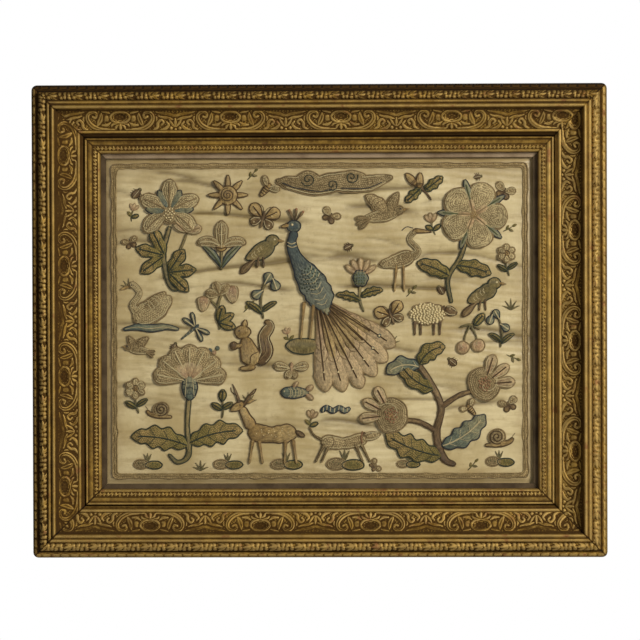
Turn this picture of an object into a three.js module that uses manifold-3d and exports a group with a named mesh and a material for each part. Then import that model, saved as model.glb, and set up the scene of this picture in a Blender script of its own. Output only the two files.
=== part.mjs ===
// Framed silkwork picture: raised-work slips on rippled satin, in a gilt composition frame.
// Millimetres. The picture stands upright with +Z up and faces -Y. Its flat back lies in the plane y = 0,
// and the origin is the middle of the back. Heights are measured forward from the back, so y = -height.

import * as THREE from "three";
import { mergeVertices } from "three/addons/utils/BufferGeometryUtils.js";
import Module from "manifold-3d";

const wasm = await Module();
wasm.setup();

// Driving sizes of the frame
const FRAME_WIDTH = 526;
const FRAME_HEIGHT = 433;
const CORNER_RADIUS = 5;
const CORNER_FACETS = 4;
const CORNER_BLOCK_DEPTH = 60;
const CORNER_BLOCK_BEHIND = 10;
const MITRE_GAP = 0.3;
const PIECE_GAP = 0.3;

// Outer moulding, its section from the outer edge inward: [distance from the edge, height from the back]
const OUTER_MOULDING = [
  [0, 0],
  [0, 25],
  [1.2, 28.6],
  [3.2, 30.6],
  [4.6, 31],
  [6, 29.2],
  [6.8, 30.4],
  [8.6, 34.8],
  [10.6, 36.8],
  [12.8, 36.2],
  [14.4, 34.6],
  [15, 36.8],
  [16.2, 38.6],
  [17.6, 38.2],
  [18.4, 37],
  [19.4, 39.8],
  [20.8, 41.2],
  [22.2, 40.4],
  [23, 37],
  [24.2, 33.6],
  [26.5, 31.4],
  [31, 29.4],
  [36, 27.4],
  [41.6, 25.4],
  [42, 26.4],
  [44.2, 26.4],
  [44.5, 24.6],
  [45.6, 21.4],
  [47.8, 20.2],
  [47.8, 17.6],
  [41.8, 17.6],
  [41.8, 0],
];

// Inner sight moulding, same columns
const SIGHT_MOULDING = [
  [42.1, 12.3],
  [42.1, 17.3],
  [48.1, 17.3],
  [48.1, 20.8],
  [48.9, 22],
  [50, 21.4],
  [50.6, 19.4],
  [51.4, 20.4],
  [54.2, 20.2],
  [54.9, 18.8],
  [55.8, 19.6],
  [59.4, 18.4],
  [60.2, 18.8],
  [61.4, 18.2],
  [62.2, 16.6],
  [62.2, 12.3],
];

// Spacer fillet behind the sight edge, same columns
const FILLET = [
  [54, 6.8],
  [54, 12],
  [66.6, 12],
  [66.6, 6.8],
];

// Backboard, set in the rebate flush with the rails' backs
const REBATE = 41.8;
const BOARD_THICKNESS = 5;

// Satin ground: its edges are pinched under the fillet and its field lifts off the board
const SILK_MARGIN = 43;
const SILK_THICKNESS = 1.2;
const SILK_EDGE_HEIGHT = BOARD_THICKNESS + PIECE_GAP + SILK_THICKNESS;
const SILK_LIFT = 2.4;
const SILK_RISE_START = 66.8;
const SILK_RISE_WIDTH = 5;
const SILK_COLUMNS = 8;
const SILK_ROWS = 52;

// The satin's creases, each a soft trough along a line:
// [x and z of its left end, x and z of its right end, depth, width]
const CREASES = [
  [-122, 99, -16, 92, 1.5, 3.6],
  [-146, 39, -16, 58, 1.4, 3.8],
  [-94, 35, -26, 29, 1.1, 3.4],
  [22, 31, 116, 30, 1.3, 3.6],
  [12, 115, 104, 125, 1.1, 3.6],
  [26, 104, 84, 101, 0.9, 4.6],
  [12, 59, 52, 56, 0.9, 3.6],
  [-196, -3, -108, -6, 0.9, 3.6],
  [22, -2, 58, -4, 0.8, 3.4],
  [34, -76, 118, -71, 1, 3.2],
  [2, -92, 52, -96, 0.9, 3.2],
  [-60, -42, -16, -46, 0.9, 4.8],
  [54, -25, 90, -28, 0.9, 4.8],
  [108, -85, 168, -72, 0.9, 4.2],
  [-190, 70, -150, 76, 0.8, 4.6],
  [120, 62, 190, 50, 0.9, 4.4],
  [-192, -62, -130, -56, 0.8, 4.6],
  [126, -8, 192, -14, 0.9, 4.6],
];

// Slow waves that sink the field a little between its creases:
// [depth, wavelength up the picture, tilt, phase]
const WAVES = [
  [0.4, 52, 0.06, 0.4],
  [0.25, 31, -0.1, 1.9],
];

// Couched braid border, from the outer edge inward, and its height over the satin
const BRAID_OUTER = 72.2;
const BRAID_WIDTH = 4.6;
const BRAID_RISE = 1;

// Raised slips: the height of a slip's back and of its wall, and how far its crown rises with its width
const SLIP_BACK = SILK_EDGE_HEIGHT + SILK_LIFT + PIECE_GAP;
const SLIP_WALL = SLIP_BACK + 0.9;
const CROWN_SHARE = 0.11;
const CROWN_MOST = 1.7;
const THINNEST = 0.5;
const NARROW = 4.6;

// Thread colours, each used for the slips that are mostly worked in it
const THREADS = {
  lace: 0x9c8a62,
  cream: 0xb9a878,
  gold: 0xa58241,
  salmon: 0xb4825f,
  brown: 0x503c23,
  olive: 0x6e643c,
  leaf: 0x7d7a55,
  teal: 0x50645f,
  navy: 0x283241,
};

// Small tools

const radians = THREE.MathUtils.degToRad;

const smooth = (value) => THREE.MathUtils.smoothstep(value, 0, 1);

// A closed geometry with shared vertices as a manifold solid
function solidOf(geometry) {
  geometry.deleteAttribute("normal");
  geometry.deleteAttribute("uv");
  const merged = mergeVertices(geometry, 1e-4);
  return new wasm.Manifold(
    new wasm.Mesh({
      numProp: 3,
      vertProperties: new Float32Array(merged.attributes.position.array),
      triVerts: new Uint32Array(merged.index.array),
    }),
  );
}

// A manifold solid as a geometry, moved so that the given point becomes its origin
function geometryOf(solid, [x, y, z] = [0, 0, 0]) {
  const mesh = solid.getMesh();
  const geometry = new THREE.BufferGeometry();
  geometry.setAttribute("position", new THREE.BufferAttribute(mesh.vertProperties, 3));
  geometry.setIndex(new THREE.BufferAttribute(mesh.triVerts, 1));
  return geometry.translate(-x, -y, -z);
}

// A closed geometry from points [x, height, z] and triangles
function facetsOf(points, triangles) {
  const geometry = new THREE.BufferGeometry();
  const flat = points.flatMap(([x, height, z]) => [x, -height, z]);
  geometry.setAttribute("position", new THREE.Float32BufferAttribute(flat, 3));
  geometry.setIndex(triangles.flat());
  return geometry;
}

// Frame

const HALF = { x: FRAME_WIDTH / 2, z: FRAME_HEIGHT / 2 };

// The four sides: turn about Y that brings the bottom rail there, half its length, and how far out it lies
const SIDES = {
  bottom: { turn: 0, reach: HALF.x, out: HALF.z },
  left: { turn: 90, reach: HALF.z, out: HALF.x },
  top: { turn: 180, reach: HALF.x, out: HALF.z },
  right: { turn: -90, reach: HALF.z, out: HALF.x },
};

// A mitred length of a moulding: its section is extruded along X, and each point stops at the mitre
function mitredLength(section, { reach, out }) {
  const shape = new THREE.Shape(section.map(([inward, height]) => new THREE.Vector2(inward, height)));
  const geometry = new THREE.ExtrudeGeometry(shape, { depth: 1, bevelEnabled: false });
  const position = geometry.attributes.position;
  for (let i = 0; i < position.count; i += 1) {
    const inward = position.getX(i);
    const height = position.getY(i);
    const end = position.getZ(i) < 0.5 ? -1 : 1;
    position.setXYZ(i, end * (reach - inward - MITRE_GAP * Math.SQRT1_2), -height, inward - out);
  }
  return solidOf(geometry);
}

// The worn, rounded outer corners, as a block that keeps what lies inside them
function roundedBlock({ reach, out }) {
  const shape = new THREE.Shape();
  const r = CORNER_RADIUS;
  shape.absarc(reach - r, out - r, r, 0, Math.PI / 2);
  shape.absarc(r - reach, out - r, r, Math.PI / 2, Math.PI);
  shape.absarc(r - reach, r - out, r, Math.PI, 1.5 * Math.PI);
  shape.absarc(reach - r, r - out, r, 1.5 * Math.PI, 2 * Math.PI);
  const block = new THREE.ExtrudeGeometry(shape, {
    depth: CORNER_BLOCK_DEPTH,
    bevelEnabled: false,
    curveSegments: CORNER_FACETS,
  });
  return solidOf(block.rotateX(Math.PI / 2).translate(0, CORNER_BLOCK_BEHIND, 0));
}

const gilt = new THREE.MeshStandardMaterial({ color: 0x8a6c36, roughness: 0.45, metalness: 0.85 });
const giltSlip = new THREE.MeshStandardMaterial({ color: 0x9a7a3c, roughness: 0.42, metalness: 0.85 });
const taupe = new THREE.MeshStandardMaterial({ color: 0x8a7866, roughness: 0.85, metalness: 0 });
const deal = new THREE.MeshStandardMaterial({ color: 0x7a5c3a, roughness: 0.8, metalness: 0 });
const satin = new THREE.MeshStandardMaterial({ color: 0xc2b287, roughness: 0.5, metalness: 0 });
const braidSilk = new THREE.MeshStandardMaterial({ color: 0xa8966c, roughness: 0.8, metalness: 0 });

function rails(name, section, material, roundCorners) {
  return Object.entries(SIDES).map(([side, place]) => {
    let solid = mitredLength(section, place);
    if (roundCorners) {
      solid = solid.intersect(roundedBlock(place));
    }
    const mesh = new THREE.Mesh(geometryOf(solid), material);
    mesh.name = `${name}_${side}`;
    mesh.rotation.y = radians(place.turn);
    return mesh;
  });
}

function backboard() {
  const inset = REBATE + PIECE_GAP;
  const size = [2 * (HALF.x - inset), BOARD_THICKNESS, 2 * (HALF.z - inset)];
  const mesh = new THREE.Mesh(new THREE.BoxGeometry(...size), deal);
  mesh.name = "backboard";
  mesh.position.y = -BOARD_THICKNESS / 2;
  return mesh;
}

// Satin

// How far inside the frame's outer edge a point lies
const inwardOf = (x, z) => Math.min(HALF.x - Math.abs(x), HALF.z - Math.abs(z));

// Height of the satin's front: the lift of its field, less each crease's trough, which fades out at its
// ends. No point of it stands above the lift, so the stiff slips rest on its crests with flat backs.
function silkHeight(x, z) {
  let troughs = 0;
  for (const [x0, z0, x1, z1, depth, width] of CREASES) {
    const along = (x - x0) / (x1 - x0);
    const across = z - (z0 + (z1 - z0) * along + 1.5 * Math.sin(5 * along));
    const ends = smooth(3 * along + 0.5) * smooth(3 * (1 - along) + 0.5);
    troughs += depth * ends * Math.exp(-((across / width) ** 2));
  }
  let waves = 0;
  for (const [depth, length, tilt, phase] of WAVES) {
    waves += (depth / 2) * (1 + Math.sin((2 * Math.PI * (z + tilt * x)) / length + phase + 0.008 * x));
  }
  const rise = smooth((inwardOf(x, z) - SILK_RISE_START) / SILK_RISE_WIDTH);
  return SILK_EDGE_HEIGHT + rise * Math.max(0.2, SILK_LIFT - troughs - waves);
}

// Grid lines across the satin: its edge, where it starts and ends its rise, and even steps over the field
function gridLines(half, steps) {
  const field = half - SILK_RISE_START - SILK_RISE_WIDTH;
  const even = Array.from({ length: steps + 1 }, (_, i) => field * ((2 * i) / steps - 1));
  return [SILK_MARGIN - half, SILK_RISE_START - half, ...even, half - SILK_RISE_START, half - SILK_MARGIN];
}

// The sheet itself: its front and its back a cloth's thickness behind, with its four edges
function silkPanel() {
  const across = gridLines(HALF.x, SILK_COLUMNS);
  const up = gridLines(HALF.z, SILK_ROWS);
  const [columns, rows] = [across.length - 1, up.length - 1];
  const wide = across.length;
  const layer = wide * up.length;
  const points = [0, SILK_THICKNESS].flatMap((behind) =>
    up.flatMap((z) => across.map((x) => [x, silkHeight(x, z) - behind, z])));
  const triangles = [];
  const quad = (a, b, c, d) => triangles.push([a, b, c], [a, c, d]);
  for (let row = 0; row < rows; row += 1) {
    for (let column = 0; column < columns; column += 1) {
      const at = row * wide + column;
      quad(at, at + 1, at + 1 + wide, at + wide);
      quad(layer + at, layer + at + wide, layer + at + 1 + wide, layer + at + 1);
    }
  }
  const last = rows * wide;
  for (let column = 0; column < columns; column += 1) {
    quad(column + 1, column, layer + column, layer + column + 1);
    quad(last + column, last + column + 1, layer + last + column + 1, layer + last + column);
  }
  for (let row = 0; row < rows; row += 1) {
    const left = row * wide;
    const right = left + columns;
    quad(left, left + wide, layer + left + wide, layer + left);
    quad(right + wide, right, layer + right, layer + right + wide);
  }
  const mesh = new THREE.Mesh(facetsOf(points, triangles), satin);
  mesh.name = "satin_ground";
  return mesh;
}

// The braid runs round the picture just inside the fillet. At each corner: outer foot, outer wall, crown,
// inner wall and inner foot.
function braidBorder() {
  const insets = [0, 0, BRAID_WIDTH / 2, BRAID_WIDTH, BRAID_WIDTH];
  const rises = [0, BRAID_RISE * 0.6, BRAID_RISE, BRAID_RISE * 0.6, 0];
  const around = insets.length;
  const points = [[-1, -1], [1, -1], [1, 1], [-1, 1]].flatMap(([cx, cz]) => insets.map((inset, k) =>
    [cx * (HALF.x - BRAID_OUTER - inset), SLIP_BACK + rises[k], cz * (HALF.z - BRAID_OUTER - inset)]));
  const triangles = [];
  for (let i = 0; i < points.length; i += around) {
    for (let k = 0; k < around; k += 1) {
      const next = (i + around) % points.length;
      const up = (k + 1) % around;
      triangles.push([i + k, next + k, next + up], [i + k, next + up, i + up]);
    }
  }
  const mesh = new THREE.Mesh(facetsOf(points, triangles), braidSilk);
  mesh.name = "braid_border";
  return mesh;
}

// Slips: each is made of blades, limbs and discs that overlap, joined into one raised solid

// Sections along a centre line, each { x, z, side: [sx, sz], half }, become a bar with upright walls.
// A wide bar has a crown along its middle, and a narrow one is flat.
function barOf(sections) {
  const widest = Math.max(...sections.map(({ half }) => half));
  const points = [];
  for (const { x, z, side, half } of sections) {
    const wall = Math.max(half, THINNEST);
    const left = [x - side[0] * wall, z - side[1] * wall];
    const right = [x + side[0] * wall, z + side[1] * wall];
    points.push([left[0], SLIP_BACK, left[1]], [left[0], SLIP_WALL, left[1]]);
    if (widest > NARROW) {
      points.push([x, SLIP_WALL + Math.min(CROWN_SHARE * 2 * wall, CROWN_MOST), z]);
    }
    points.push([right[0], SLIP_WALL, right[1]], [right[0], SLIP_BACK, right[1]]);
  }
  const around = points.length / sections.length;
  const triangles = [];
  for (let i = 0; i + 1 < sections.length; i += 1) {
    for (let k = 0; k < around; k += 1) {
      const a = i * around + k;
      const b = i * around + ((k + 1) % around);
      triangles.push([a, a + around, b + around], [a, b + around, b]);
    }
  }
  const end = (sections.length - 1) * around;
  for (let k = 1; k + 1 < around; k += 1) {
    triangles.push([0, k, k + 1], [end, end + k + 1, end + k]);
  }
  return [points, triangles];
}

// A blade (leaf, petal, feather, wing): it starts at [x, z], sets off at `turn` degrees from up,
// clockwise, and bends evenly. Its half width goes as sin(pi t^e)^round, so `full` is where it is widest,
// and lobes scallop it.
function blade(thread, x, z, turn, length, width, options = {}) {
  const { bend = 0, full = 0.5, round = 0.6, lobes = 0, depth = 0.3, steps = 4 } = options;
  const power = Math.log(0.5) / Math.log(full);
  const count = lobes ? Math.max(steps, 2 * lobes) : steps;
  return { thread, trace: (place) => {
    const sections = [];
    let [px, pz] = [x, z];
    for (let i = 0; i <= count; i += 1) {
      const t = i / count;
      const heading = radians(turn + bend * t);
      const swell = Math.sin(Math.PI * Math.min(1, Math.max(0, t)) ** power) ** round || 0;
      const scallop = 1 - depth * (lobes ? 0.5 + 0.5 * Math.cos(2 * Math.PI * lobes * t) : 0);
      const half = (width / 2) * swell * scallop;
      sections.push(place({ x: px, z: pz, side: [Math.cos(heading), -Math.sin(heading)], half }));
      px += (length / count) * Math.sin(heading + radians(bend / count / 2));
      pz += (length / count) * Math.cos(heading + radians(bend / count / 2));
    }
    return barOf(sections);
  } };
}

// A limb (stem, neck, body, leg) along rows of [x, z, width], joined by a Catmull-Rom curve
function limb(thread, rows, steps = 2) {
  const stations = rows.map((row) => new THREE.Vector3(...row));
  const curve = new THREE.CatmullRomCurve3(stations, false, "catmullrom", 0.5);
  const count = steps * (rows.length - 1);
  return { thread, trace: (place) => {
    const sections = [];
    for (let i = 0; i <= count; i += 1) {
      const at = curve.getPoint(i / count);
      const ahead = curve.getPoint(Math.min(1, i / count + 0.01));
      const behind = curve.getPoint(Math.max(0, i / count - 0.01));
      const [dx, dz] = [ahead.x - behind.x, ahead.y - behind.y];
      const run = Math.hypot(dx, dz);
      sections.push(place({ x: at.x, z: at.y, side: [dz / run, -dx / run], half: at.z / 2 }));
    }
    return barOf(sections);
  } };
}

// A disc (fruit, head, flower centre, mound): an ellipse, scalloped by its lobes, domed over its middle
function disc(thread, x, z, wide, tall, options = {}) {
  const { turn = 0, lobes = 0, depth = 0.15, sides = 10 } = options;
  const count = lobes ? Math.max(sides, 2 * lobes) : sides;
  return { thread, trace: (place) => {
    const points = [];
    const middle = place({ x, z, side: [1, 0], half: 0 });
    const crown = Math.min(CROWN_SHARE * Math.min(wide, tall) * 2, CROWN_MOST);
    for (let i = 0; i < count; i += 1) {
      const angle = (2 * Math.PI * i) / count;
      const scallop = 1 - depth * (lobes ? 0.5 - 0.5 * Math.cos(lobes * angle) : 0);
      const [u, v] = [wide * scallop * Math.cos(angle), tall * scallop * Math.sin(angle)];
      const c = Math.cos(radians(turn));
      const s = Math.sin(radians(turn));
      const rim = place({ x: x + u * c + v * s, z: z + v * c - u * s, side: [1, 0], half: 0 });
      points.push([rim.x, SLIP_BACK, rim.z], [rim.x, SLIP_WALL, rim.z]);
    }
    const bottom = points.length;
    points.push([middle.x, SLIP_BACK, middle.z], [middle.x, SLIP_WALL + crown, middle.z]);
    const triangles = [];
    for (let i = 0; i < count; i += 1) {
      const a = 2 * i;
      const b = 2 * ((i + 1) % count);
      triangles.push([a, b, b + 1], [a, b + 1, a + 1], [a + 1, b + 1, bottom + 1], [b, a, bottom]);
    }
    return [points, triangles];
  } };
}

// `count` parts spread evenly from -spread to +spread degrees, and `count` parts all the way round
const fan = (count, spread, make) =>
  Array.from({ length: count }, (_, i) => make(spread * ((2 * i) / (count - 1) - 1), i));
const ring = (count, start, make) =>
  Array.from({ length: count }, (_, i) => make(start + (360 * i) / count, i));

// Motifs, each drawn about its own middle

const legs = (thread, top, length, width, ...feet) =>
  feet.map(([x, step]) => limb(thread, [[x, top, width * 1.8], [x + step / 2, top - length / 2, width],
    [x + step, top - length, width]], 1));

const peacock = () => [
  disc("olive", -6, -58, 17, 7),
  ...fan(6, 25, (turn, i) =>
    blade("salmon", 4, -10, 149 + turn, 96 - 3 * Math.abs(i - 3), 17, { full: 0.8 })),
  ...legs("gold", -18, 34, 2.2, [-6, -3], [3, -4]),
  limb("navy", [[-14, 46, 7], [-17, 34, 8], [-12, 20, 12], [-2, 4, 24], [8, -12, 25], [14, -26, 13]]),
  blade("teal", -8, 16, 146, 52, 21, { bend: 14, full: 0.4 }),
  disc("navy", -15, 50, 6.4, 5.4),
  blade("gold", -19, 51, -100, 8, 4, { full: 0.3, steps: 3 }),
  ...fan(3, 30, (turn) => blade("brown", -14, 53, turn + 6, 13, 3, { full: 0.8, steps: 2 })),
];

const carnation = () => [
  limb("olive", [[-15, 6, 2], [-8, 0, 3], [0, 6, 3.6], [-1, 28, 3.2], [1, 54, 3.4]]),
  blade("leaf", 0, 12, -66, 44, 19, { bend: -30, lobes: 4 }),
  blade("leaf", 0, 14, 62, 42, 19, { bend: 30, lobes: 4 }),
  ...fan(7, 78, (turn) => blade("lace", 1, 60, turn, 28, 14, { full: 0.74 })),
  limb("teal", [[1, 46, 5], [1, 54, 11], [1, 64, 9]], 1),
];

const rose = () => [
  limb("olive", [[10, -74, 2.6], [0, -56, 3], [3, -34, 3], [0, -8, 3]]),
  blade("leaf", 1, -54, -78, 30, 15, { bend: -24, lobes: 3, depth: 0.2 }),
  blade("leaf", 2, -44, 70, 30, 15, { bend: 24, lobes: 3, depth: 0.2 }),
  ...ring(5, 36, (turn) => blade("teal", 0, 0, turn, 30, 6, { full: 0.6, steps: 3 })),
  ...ring(5, 0, (turn) => blade("cream", 0, 0, turn, 28, 23, { full: 0.66, round: 0.5 })),
  disc("gold", 0, 0, 5, 5, { sides: 8 }),
];

const pomegranate = () => [
  limb("brown", [[-10, -2, 3.4], [0, 4, 5.4], [6, 24, 5.4], [2, 46, 5], [10, 66, 4.4], [22, 84, 4]]),
  limb("brown", [[5, 26, 4], [20, 34, 3.6], [34, 36, 3.4]]),
  limb("brown", [[3, 46, 4], [-12, 56, 3.6], [-24, 60, 3.4]]),
  blade("leaf", 1, 6, 84, 52, 22, { bend: -30, lobes: 4 }),
  blade("teal", 2, 14, -74, 46, 20, { bend: 40, lobes: 4 }),
  blade("leaf", 8, 62, 78, 36, 18, { bend: -50, lobes: 3 }),
  blade("teal", 20, 80, 66, 30, 16, { bend: 70, lobes: 3 }),
  blade("leaf", 20, 82, -20, 28, 16, { bend: -70, lobes: 3 }),
  ...pomegranateFruit(44, 40, 62, 15),
  ...pomegranateFruit(-34, 66, -52, 14),
];

const pomegranateFruit = (x, z, turn, size) => [
  ...fan(3, 34, (spread) => blade("salmon", x, z, turn + spread, size + 12, 9, { full: 0.75 })),
  disc("lace", x, z, size, size * 0.92, { turn, sides: 12 }),
  disc("gold", x, z, size * 0.5, size * 0.62, { turn, sides: 8 }),
];

const columbine = () => [
  limb("olive", [[14, -2, 2], [6, -6, 2.8], [0, 2, 3.4], [-3, 24, 3.2], [2, 46, 3.2]]),
  limb("olive", [[-1, 14, 2.6], [10, 26, 2.4], [16, 40, 2.2]]),
  ...fan(3, 50, (turn) => blade("leaf", -2, 22, turn - 76, 25, 12, { lobes: 2, depth: 0.2 })),
  ...fan(3, 50, (turn) => blade("leaf", 1, 8, turn + 84, 23, 12, { lobes: 2, depth: 0.2 })),
  ...fan(5, 112, (turn) => blade("cream", 2, 58, turn, 27, 14, { bend: turn / 3, full: 0.62 })),
  ...fan(3, 60, (turn) => blade("salmon", 16, 41, turn + 12, 13, 8, { full: 0.65, steps: 3 })),
  disc("lace", 2, 56, 7, 8),
];

const thistle = () => [
  limb("olive", [[4, -24, 2], [0, -12, 2.6], [1, 4, 2.8]]),
  blade("leaf", 1, -14, -56, 24, 9, { bend: -40, lobes: 4 }),
  blade("leaf", 1, -10, 54, 22, 9, { bend: 40, lobes: 4 }),
  ...fan(5, 52, (turn) => blade("salmon", 1, 8, turn, 18, 5, { full: 0.7, steps: 3 })),
  disc("teal", 1, 7, 7.5, 8, { lobes: 6, depth: 0.12 }),
];

const strawberry = () => [
  limb("olive", [[0, -20, 2], [-2, -6, 2.4], [1, 8, 2.4], [9, 15, 2]]),
  limb("olive", [[-1, -2, 2.2], [-8, 5, 2], [-13, 6, 2]], 1),
  blade("salmon", 9, 17, 170, 15, 12, { full: 0.34 }),
  blade("salmon", -13, 8, 186, 13, 11, { full: 0.34 }),
  ...fan(3, 46, (turn) => blade("leaf", -1, -14, turn + 60, 15, 8)),
  ...fan(3, 60, (turn) => blade("lace", 0, 9, turn - 20, 12, 8, { full: 0.62, steps: 3 })),
];

const acorns = () => [
  limb("brown", [[-14, -8, 2], [-4, -2, 2.6], [8, 2, 2.2]]),
  blade("leaf", -4, -2, -32, 24, 12, { lobes: 3 }),
  blade("leaf", 0, 0, 152, 22, 11, { lobes: 3 }),
  blade("gold", 6, 1, 62, 16, 8, { full: 0.45 }),
  blade("gold", 2, -1, 16, 16, 8, { full: 0.45 }),
];

const bellflower = () => [
  limb("olive", [[2, -20, 2], [0, -6, 2.2], [3, 8, 2.2], [10, 14, 2]]),
  blade("leaf", 1, -16, -38, 17, 5, { bend: -30 }),
  blade("leaf", 1, -14, 42, 15, 5, { bend: 30 }),
  ...[[10, 14, 160], [2, 4, 236], [3, 9, 30]].map(([x, z, turn]) =>
    blade("teal", x, z, turn, 11, 8, { full: 0.66, steps: 3 })),
];

const daisy = () => [
  limb("olive", [[3, -19, 1.8], [0, -8, 2], [0, 2, 2]]),
  blade("leaf", 1, -14, -60, 12, 5, { steps: 3 }),
  blade("leaf", 1, -12, 58, 12, 5, { steps: 3 }),
  ...ring(6, 0, (turn) => blade("cream", 0, 4, turn, 10, 7, { full: 0.62, steps: 3 })),
  disc("gold", 0, 4, 3.2, 3.2, { sides: 7 }),
];

const cherries = () => [
  limb("olive", [[-10, 10, 2], [0, 12, 2.4], [9, 8, 2]]),
  limb("olive", [[0, 12, 1.8], [-5, 2, 1.8], [-6, -6, 1.8]], 1),
  limb("olive", [[0, 12, 1.8], [5, 2, 1.8], [6, -4, 1.8]], 1),
  disc("salmon", -7, -9, 6, 6, { sides: 9 }),
  disc("salmon", 7, -7, 6, 6, { sides: 9 }),
  blade("leaf", 3, 11, 40, 15, 8),
];

const fleur = () => [
  limb("olive", [[0, -24, 2.2], [0, -12, 2.6], [0, -2, 3]], 1),
  blade("teal", 0, -22, -24, 30, 6, { bend: -34 }),
  blade("teal", 0, -22, 24, 30, 6, { bend: 34 }),
  ...fan(2, 40, (turn) => blade("lace", 0, -4, turn, 25, 10, { bend: turn * 2, full: 0.6 })),
  blade("lace", 0, -5, 0, 27, 12, { full: 0.55 }),
  disc("gold", 0, -3, 5, 4, { sides: 8 }),
];

const stag = () => [
  limb("gold", [[-19, 4, 8], [-13, 3, 15], [0, 1, 13], [14, 2, 15], [21, 0, 7]]),
  limb("gold", [[-15, 6, 11], [-21, 17, 8], [-24, 24, 6]]),
  blade("gold", -22, 27, -118, 13, 7, { full: 0.35 }),
  ...[[-25, -12, 21], [-23, 22, 19]].map(([x, turn, length]) =>
    blade("brown", x, 23, turn, length, 3, { bend: turn, full: 0.3, steps: 3 })),
  ...legs("gold", -3, 20, 2.2, [-15, -3], [-10, 3], [12, -1], [18, 3]),
  blade("brown", 20, 4, 120, 9, 4, { steps: 3 }),
];

const hound = () => [
  limb("lace", [[-22, 7, 6], [-15, 4, 11], [-2, 1, 10], [11, 2, 12], [17, 0, 6]]),
  blade("lace", -18, 6, -80, 15, 7, { full: 0.4 }),
  blade("brown", -20, 10, 150, 7, 4, { steps: 3 }),
  limb("lace", [[15, 3, 3], [23, 8, 2], [27, 15, 1.6]], 1),
  ...legs("lace", 1, 16, 2.2, [-16, -8], [-11, -7], [10, 7], [14, 8]),
];

const squirrel = () => [
  limb("brown", [[7, -14, 7], [13, -4, 10], [11, 8, 9], [16, 17, 7], [12, 21, 3]]),
  limb("gold", [[-4, 8, 8], [-2, 0, 13], [1, -9, 16], [2, -15, 10]]),
  disc("gold", -6, 12, 6.4, 5.4, { sides: 9 }),
  blade("gold", -5, 14, 10, 8, 4, { steps: 3 }),
  blade("gold", -4, 2, -100, 10, 3.4, { steps: 3 }),
  disc("brown", -13, 1, 3, 3.4, { sides: 7 }),
  limb("gold", [[4, -15, 6], [-3, -17, 4], [-8, -17, 2.4]], 1),
];

const sheep = () => [
  disc("cream", 2, 2, 16, 10, { lobes: 8, depth: 0.14 }),
  blade("brown", -12, 6, -110, 11, 8, { full: 0.4 }),
  ...legs("brown", -4, 12, 2, [-8, 0], [-3, 0], [8, 0], [13, 0]),
];

const swan = () => [
  blade("cream", -14, -6, 74, 38, 20, { bend: -28, full: 0.42 }),
  limb("cream", [[-8, -2, 9], [-14, 5, 5], [-8, 15, 4], [-13, 22, 5], [-17, 21, 5]]),
  blade("gold", -17, 21, -110, 8, 3.4, { full: 0.3, steps: 3 }),
  blade("lace", -6, 0, 62, 26, 12, { bend: -24, full: 0.4 }),
  limb("teal", [[-22, -15, 2], [-10, -13, 5], [2, -14, 6], [14, -13, 5], [25, -15, 2]]),
];

const heron = () => [
  blade("lace", -9, 6, 116, 30, 13, { bend: -20, full: 0.36 }),
  limb("lace", [[-6, 3, 8], [-12, 9, 4.6], [-5, 18, 3.6], [-10, 25, 4.6]]),
  blade("gold", -8, 25, -94, 15, 3.4, { full: 0.2, steps: 3 }),
  blade("teal", -4, 5, 112, 20, 7, { full: 0.4 }),
  ...legs("gold", 0, 24, 1.8, [0, -1], [5, 2]),
];

const dove = () => [
  blade("lace", -14, 2, 96, 34, 12, { bend: -10, full: 0.4 }),
  blade("lace", -2, 2, 24, 26, 13, { bend: 30, full: 0.4 }),
  blade("lace", -4, 2, -26, 22, 11, { bend: -20, full: 0.4 }),
  ...fan(3, 20, (turn) => blade("lace", 12, 0, 100 + turn, 15, 5, { full: 0.7, steps: 3 })),
  disc("lace", -14, 3, 5, 4.4, { sides: 8 }),
  blade("gold", -17, 3, -92, 7, 3, { full: 0.3, steps: 2 }),
];

const finch = () => [
  blade("olive", -10, 8, 128, 30, 15, { bend: -16, full: 0.4 }),
  disc("olive", -9, 10, 6, 5.4, { sides: 9 }),
  blade("gold", -13, 10, -96, 7, 3.4, { full: 0.3, steps: 2 }),
  blade("teal", -4, 6, 128, 22, 8, { full: 0.4 }),
  blade("brown", 5, -5, 134, 22, 6, { full: 0.7, steps: 3 }),
  ...legs("brown", -4, 11, 1.8, [0, -1], [4, 1]),
];

const butterfly = () => [
  ...[[-1, -52, 17, 12], [1, 52, 17, 12]].map(([x, turn, length, width]) =>
    blade("gold", x, 1, turn, length, width, { full: 0.66 })),
  ...[[-1, -124, 12, 9], [1, 124, 12, 9]].map(([x, turn, length, width]) =>
    blade("brown", x, 0, turn, length, width, { full: 0.64 })),
  limb("brown", [[0, 8, 2], [0, 1, 3.2], [0, -9, 2]], 1),
];

const moth = () => [
  blade("lace", -1, 0, -72, 18, 10, { full: 0.66, bend: -16 }),
  blade("lace", 1, 0, 72, 18, 10, { full: 0.66, bend: 16 }),
  blade("lace", 0, -1, -150, 11, 8, { full: 0.6, steps: 3 }),
  blade("lace", 0, -1, 150, 11, 8, { full: 0.6, steps: 3 }),
  limb("salmon", [[0, 7, 2.4], [0, 1, 4], [0, -8, 2]], 1),
];

const bee = () => [
  blade("cream", 0, 2, -56, 12, 7, { full: 0.64, steps: 3 }),
  blade("cream", 0, 2, 56, 12, 7, { full: 0.64, steps: 3 }),
  limb("gold", [[0, 7, 3], [0, 1, 6], [0, -8, 3]]),
];

const dragonfly = () => [
  ...[-64, -104, 64, 104].map((turn) => blade("teal", 0, 4, turn, 17, 5, { full: 0.7, steps: 3 })),
  limb("navy", [[0, 9, 3], [0, 4, 4], [0, -16, 2]], 1),
];

const grub = () => [
  limb("navy", [[-13, -2, 3], [-8, 2, 4.6], [-2, -1, 4.6], [4, 2, 4.6], [9, -1, 4.6], [14, 2, 3]]),
];

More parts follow.
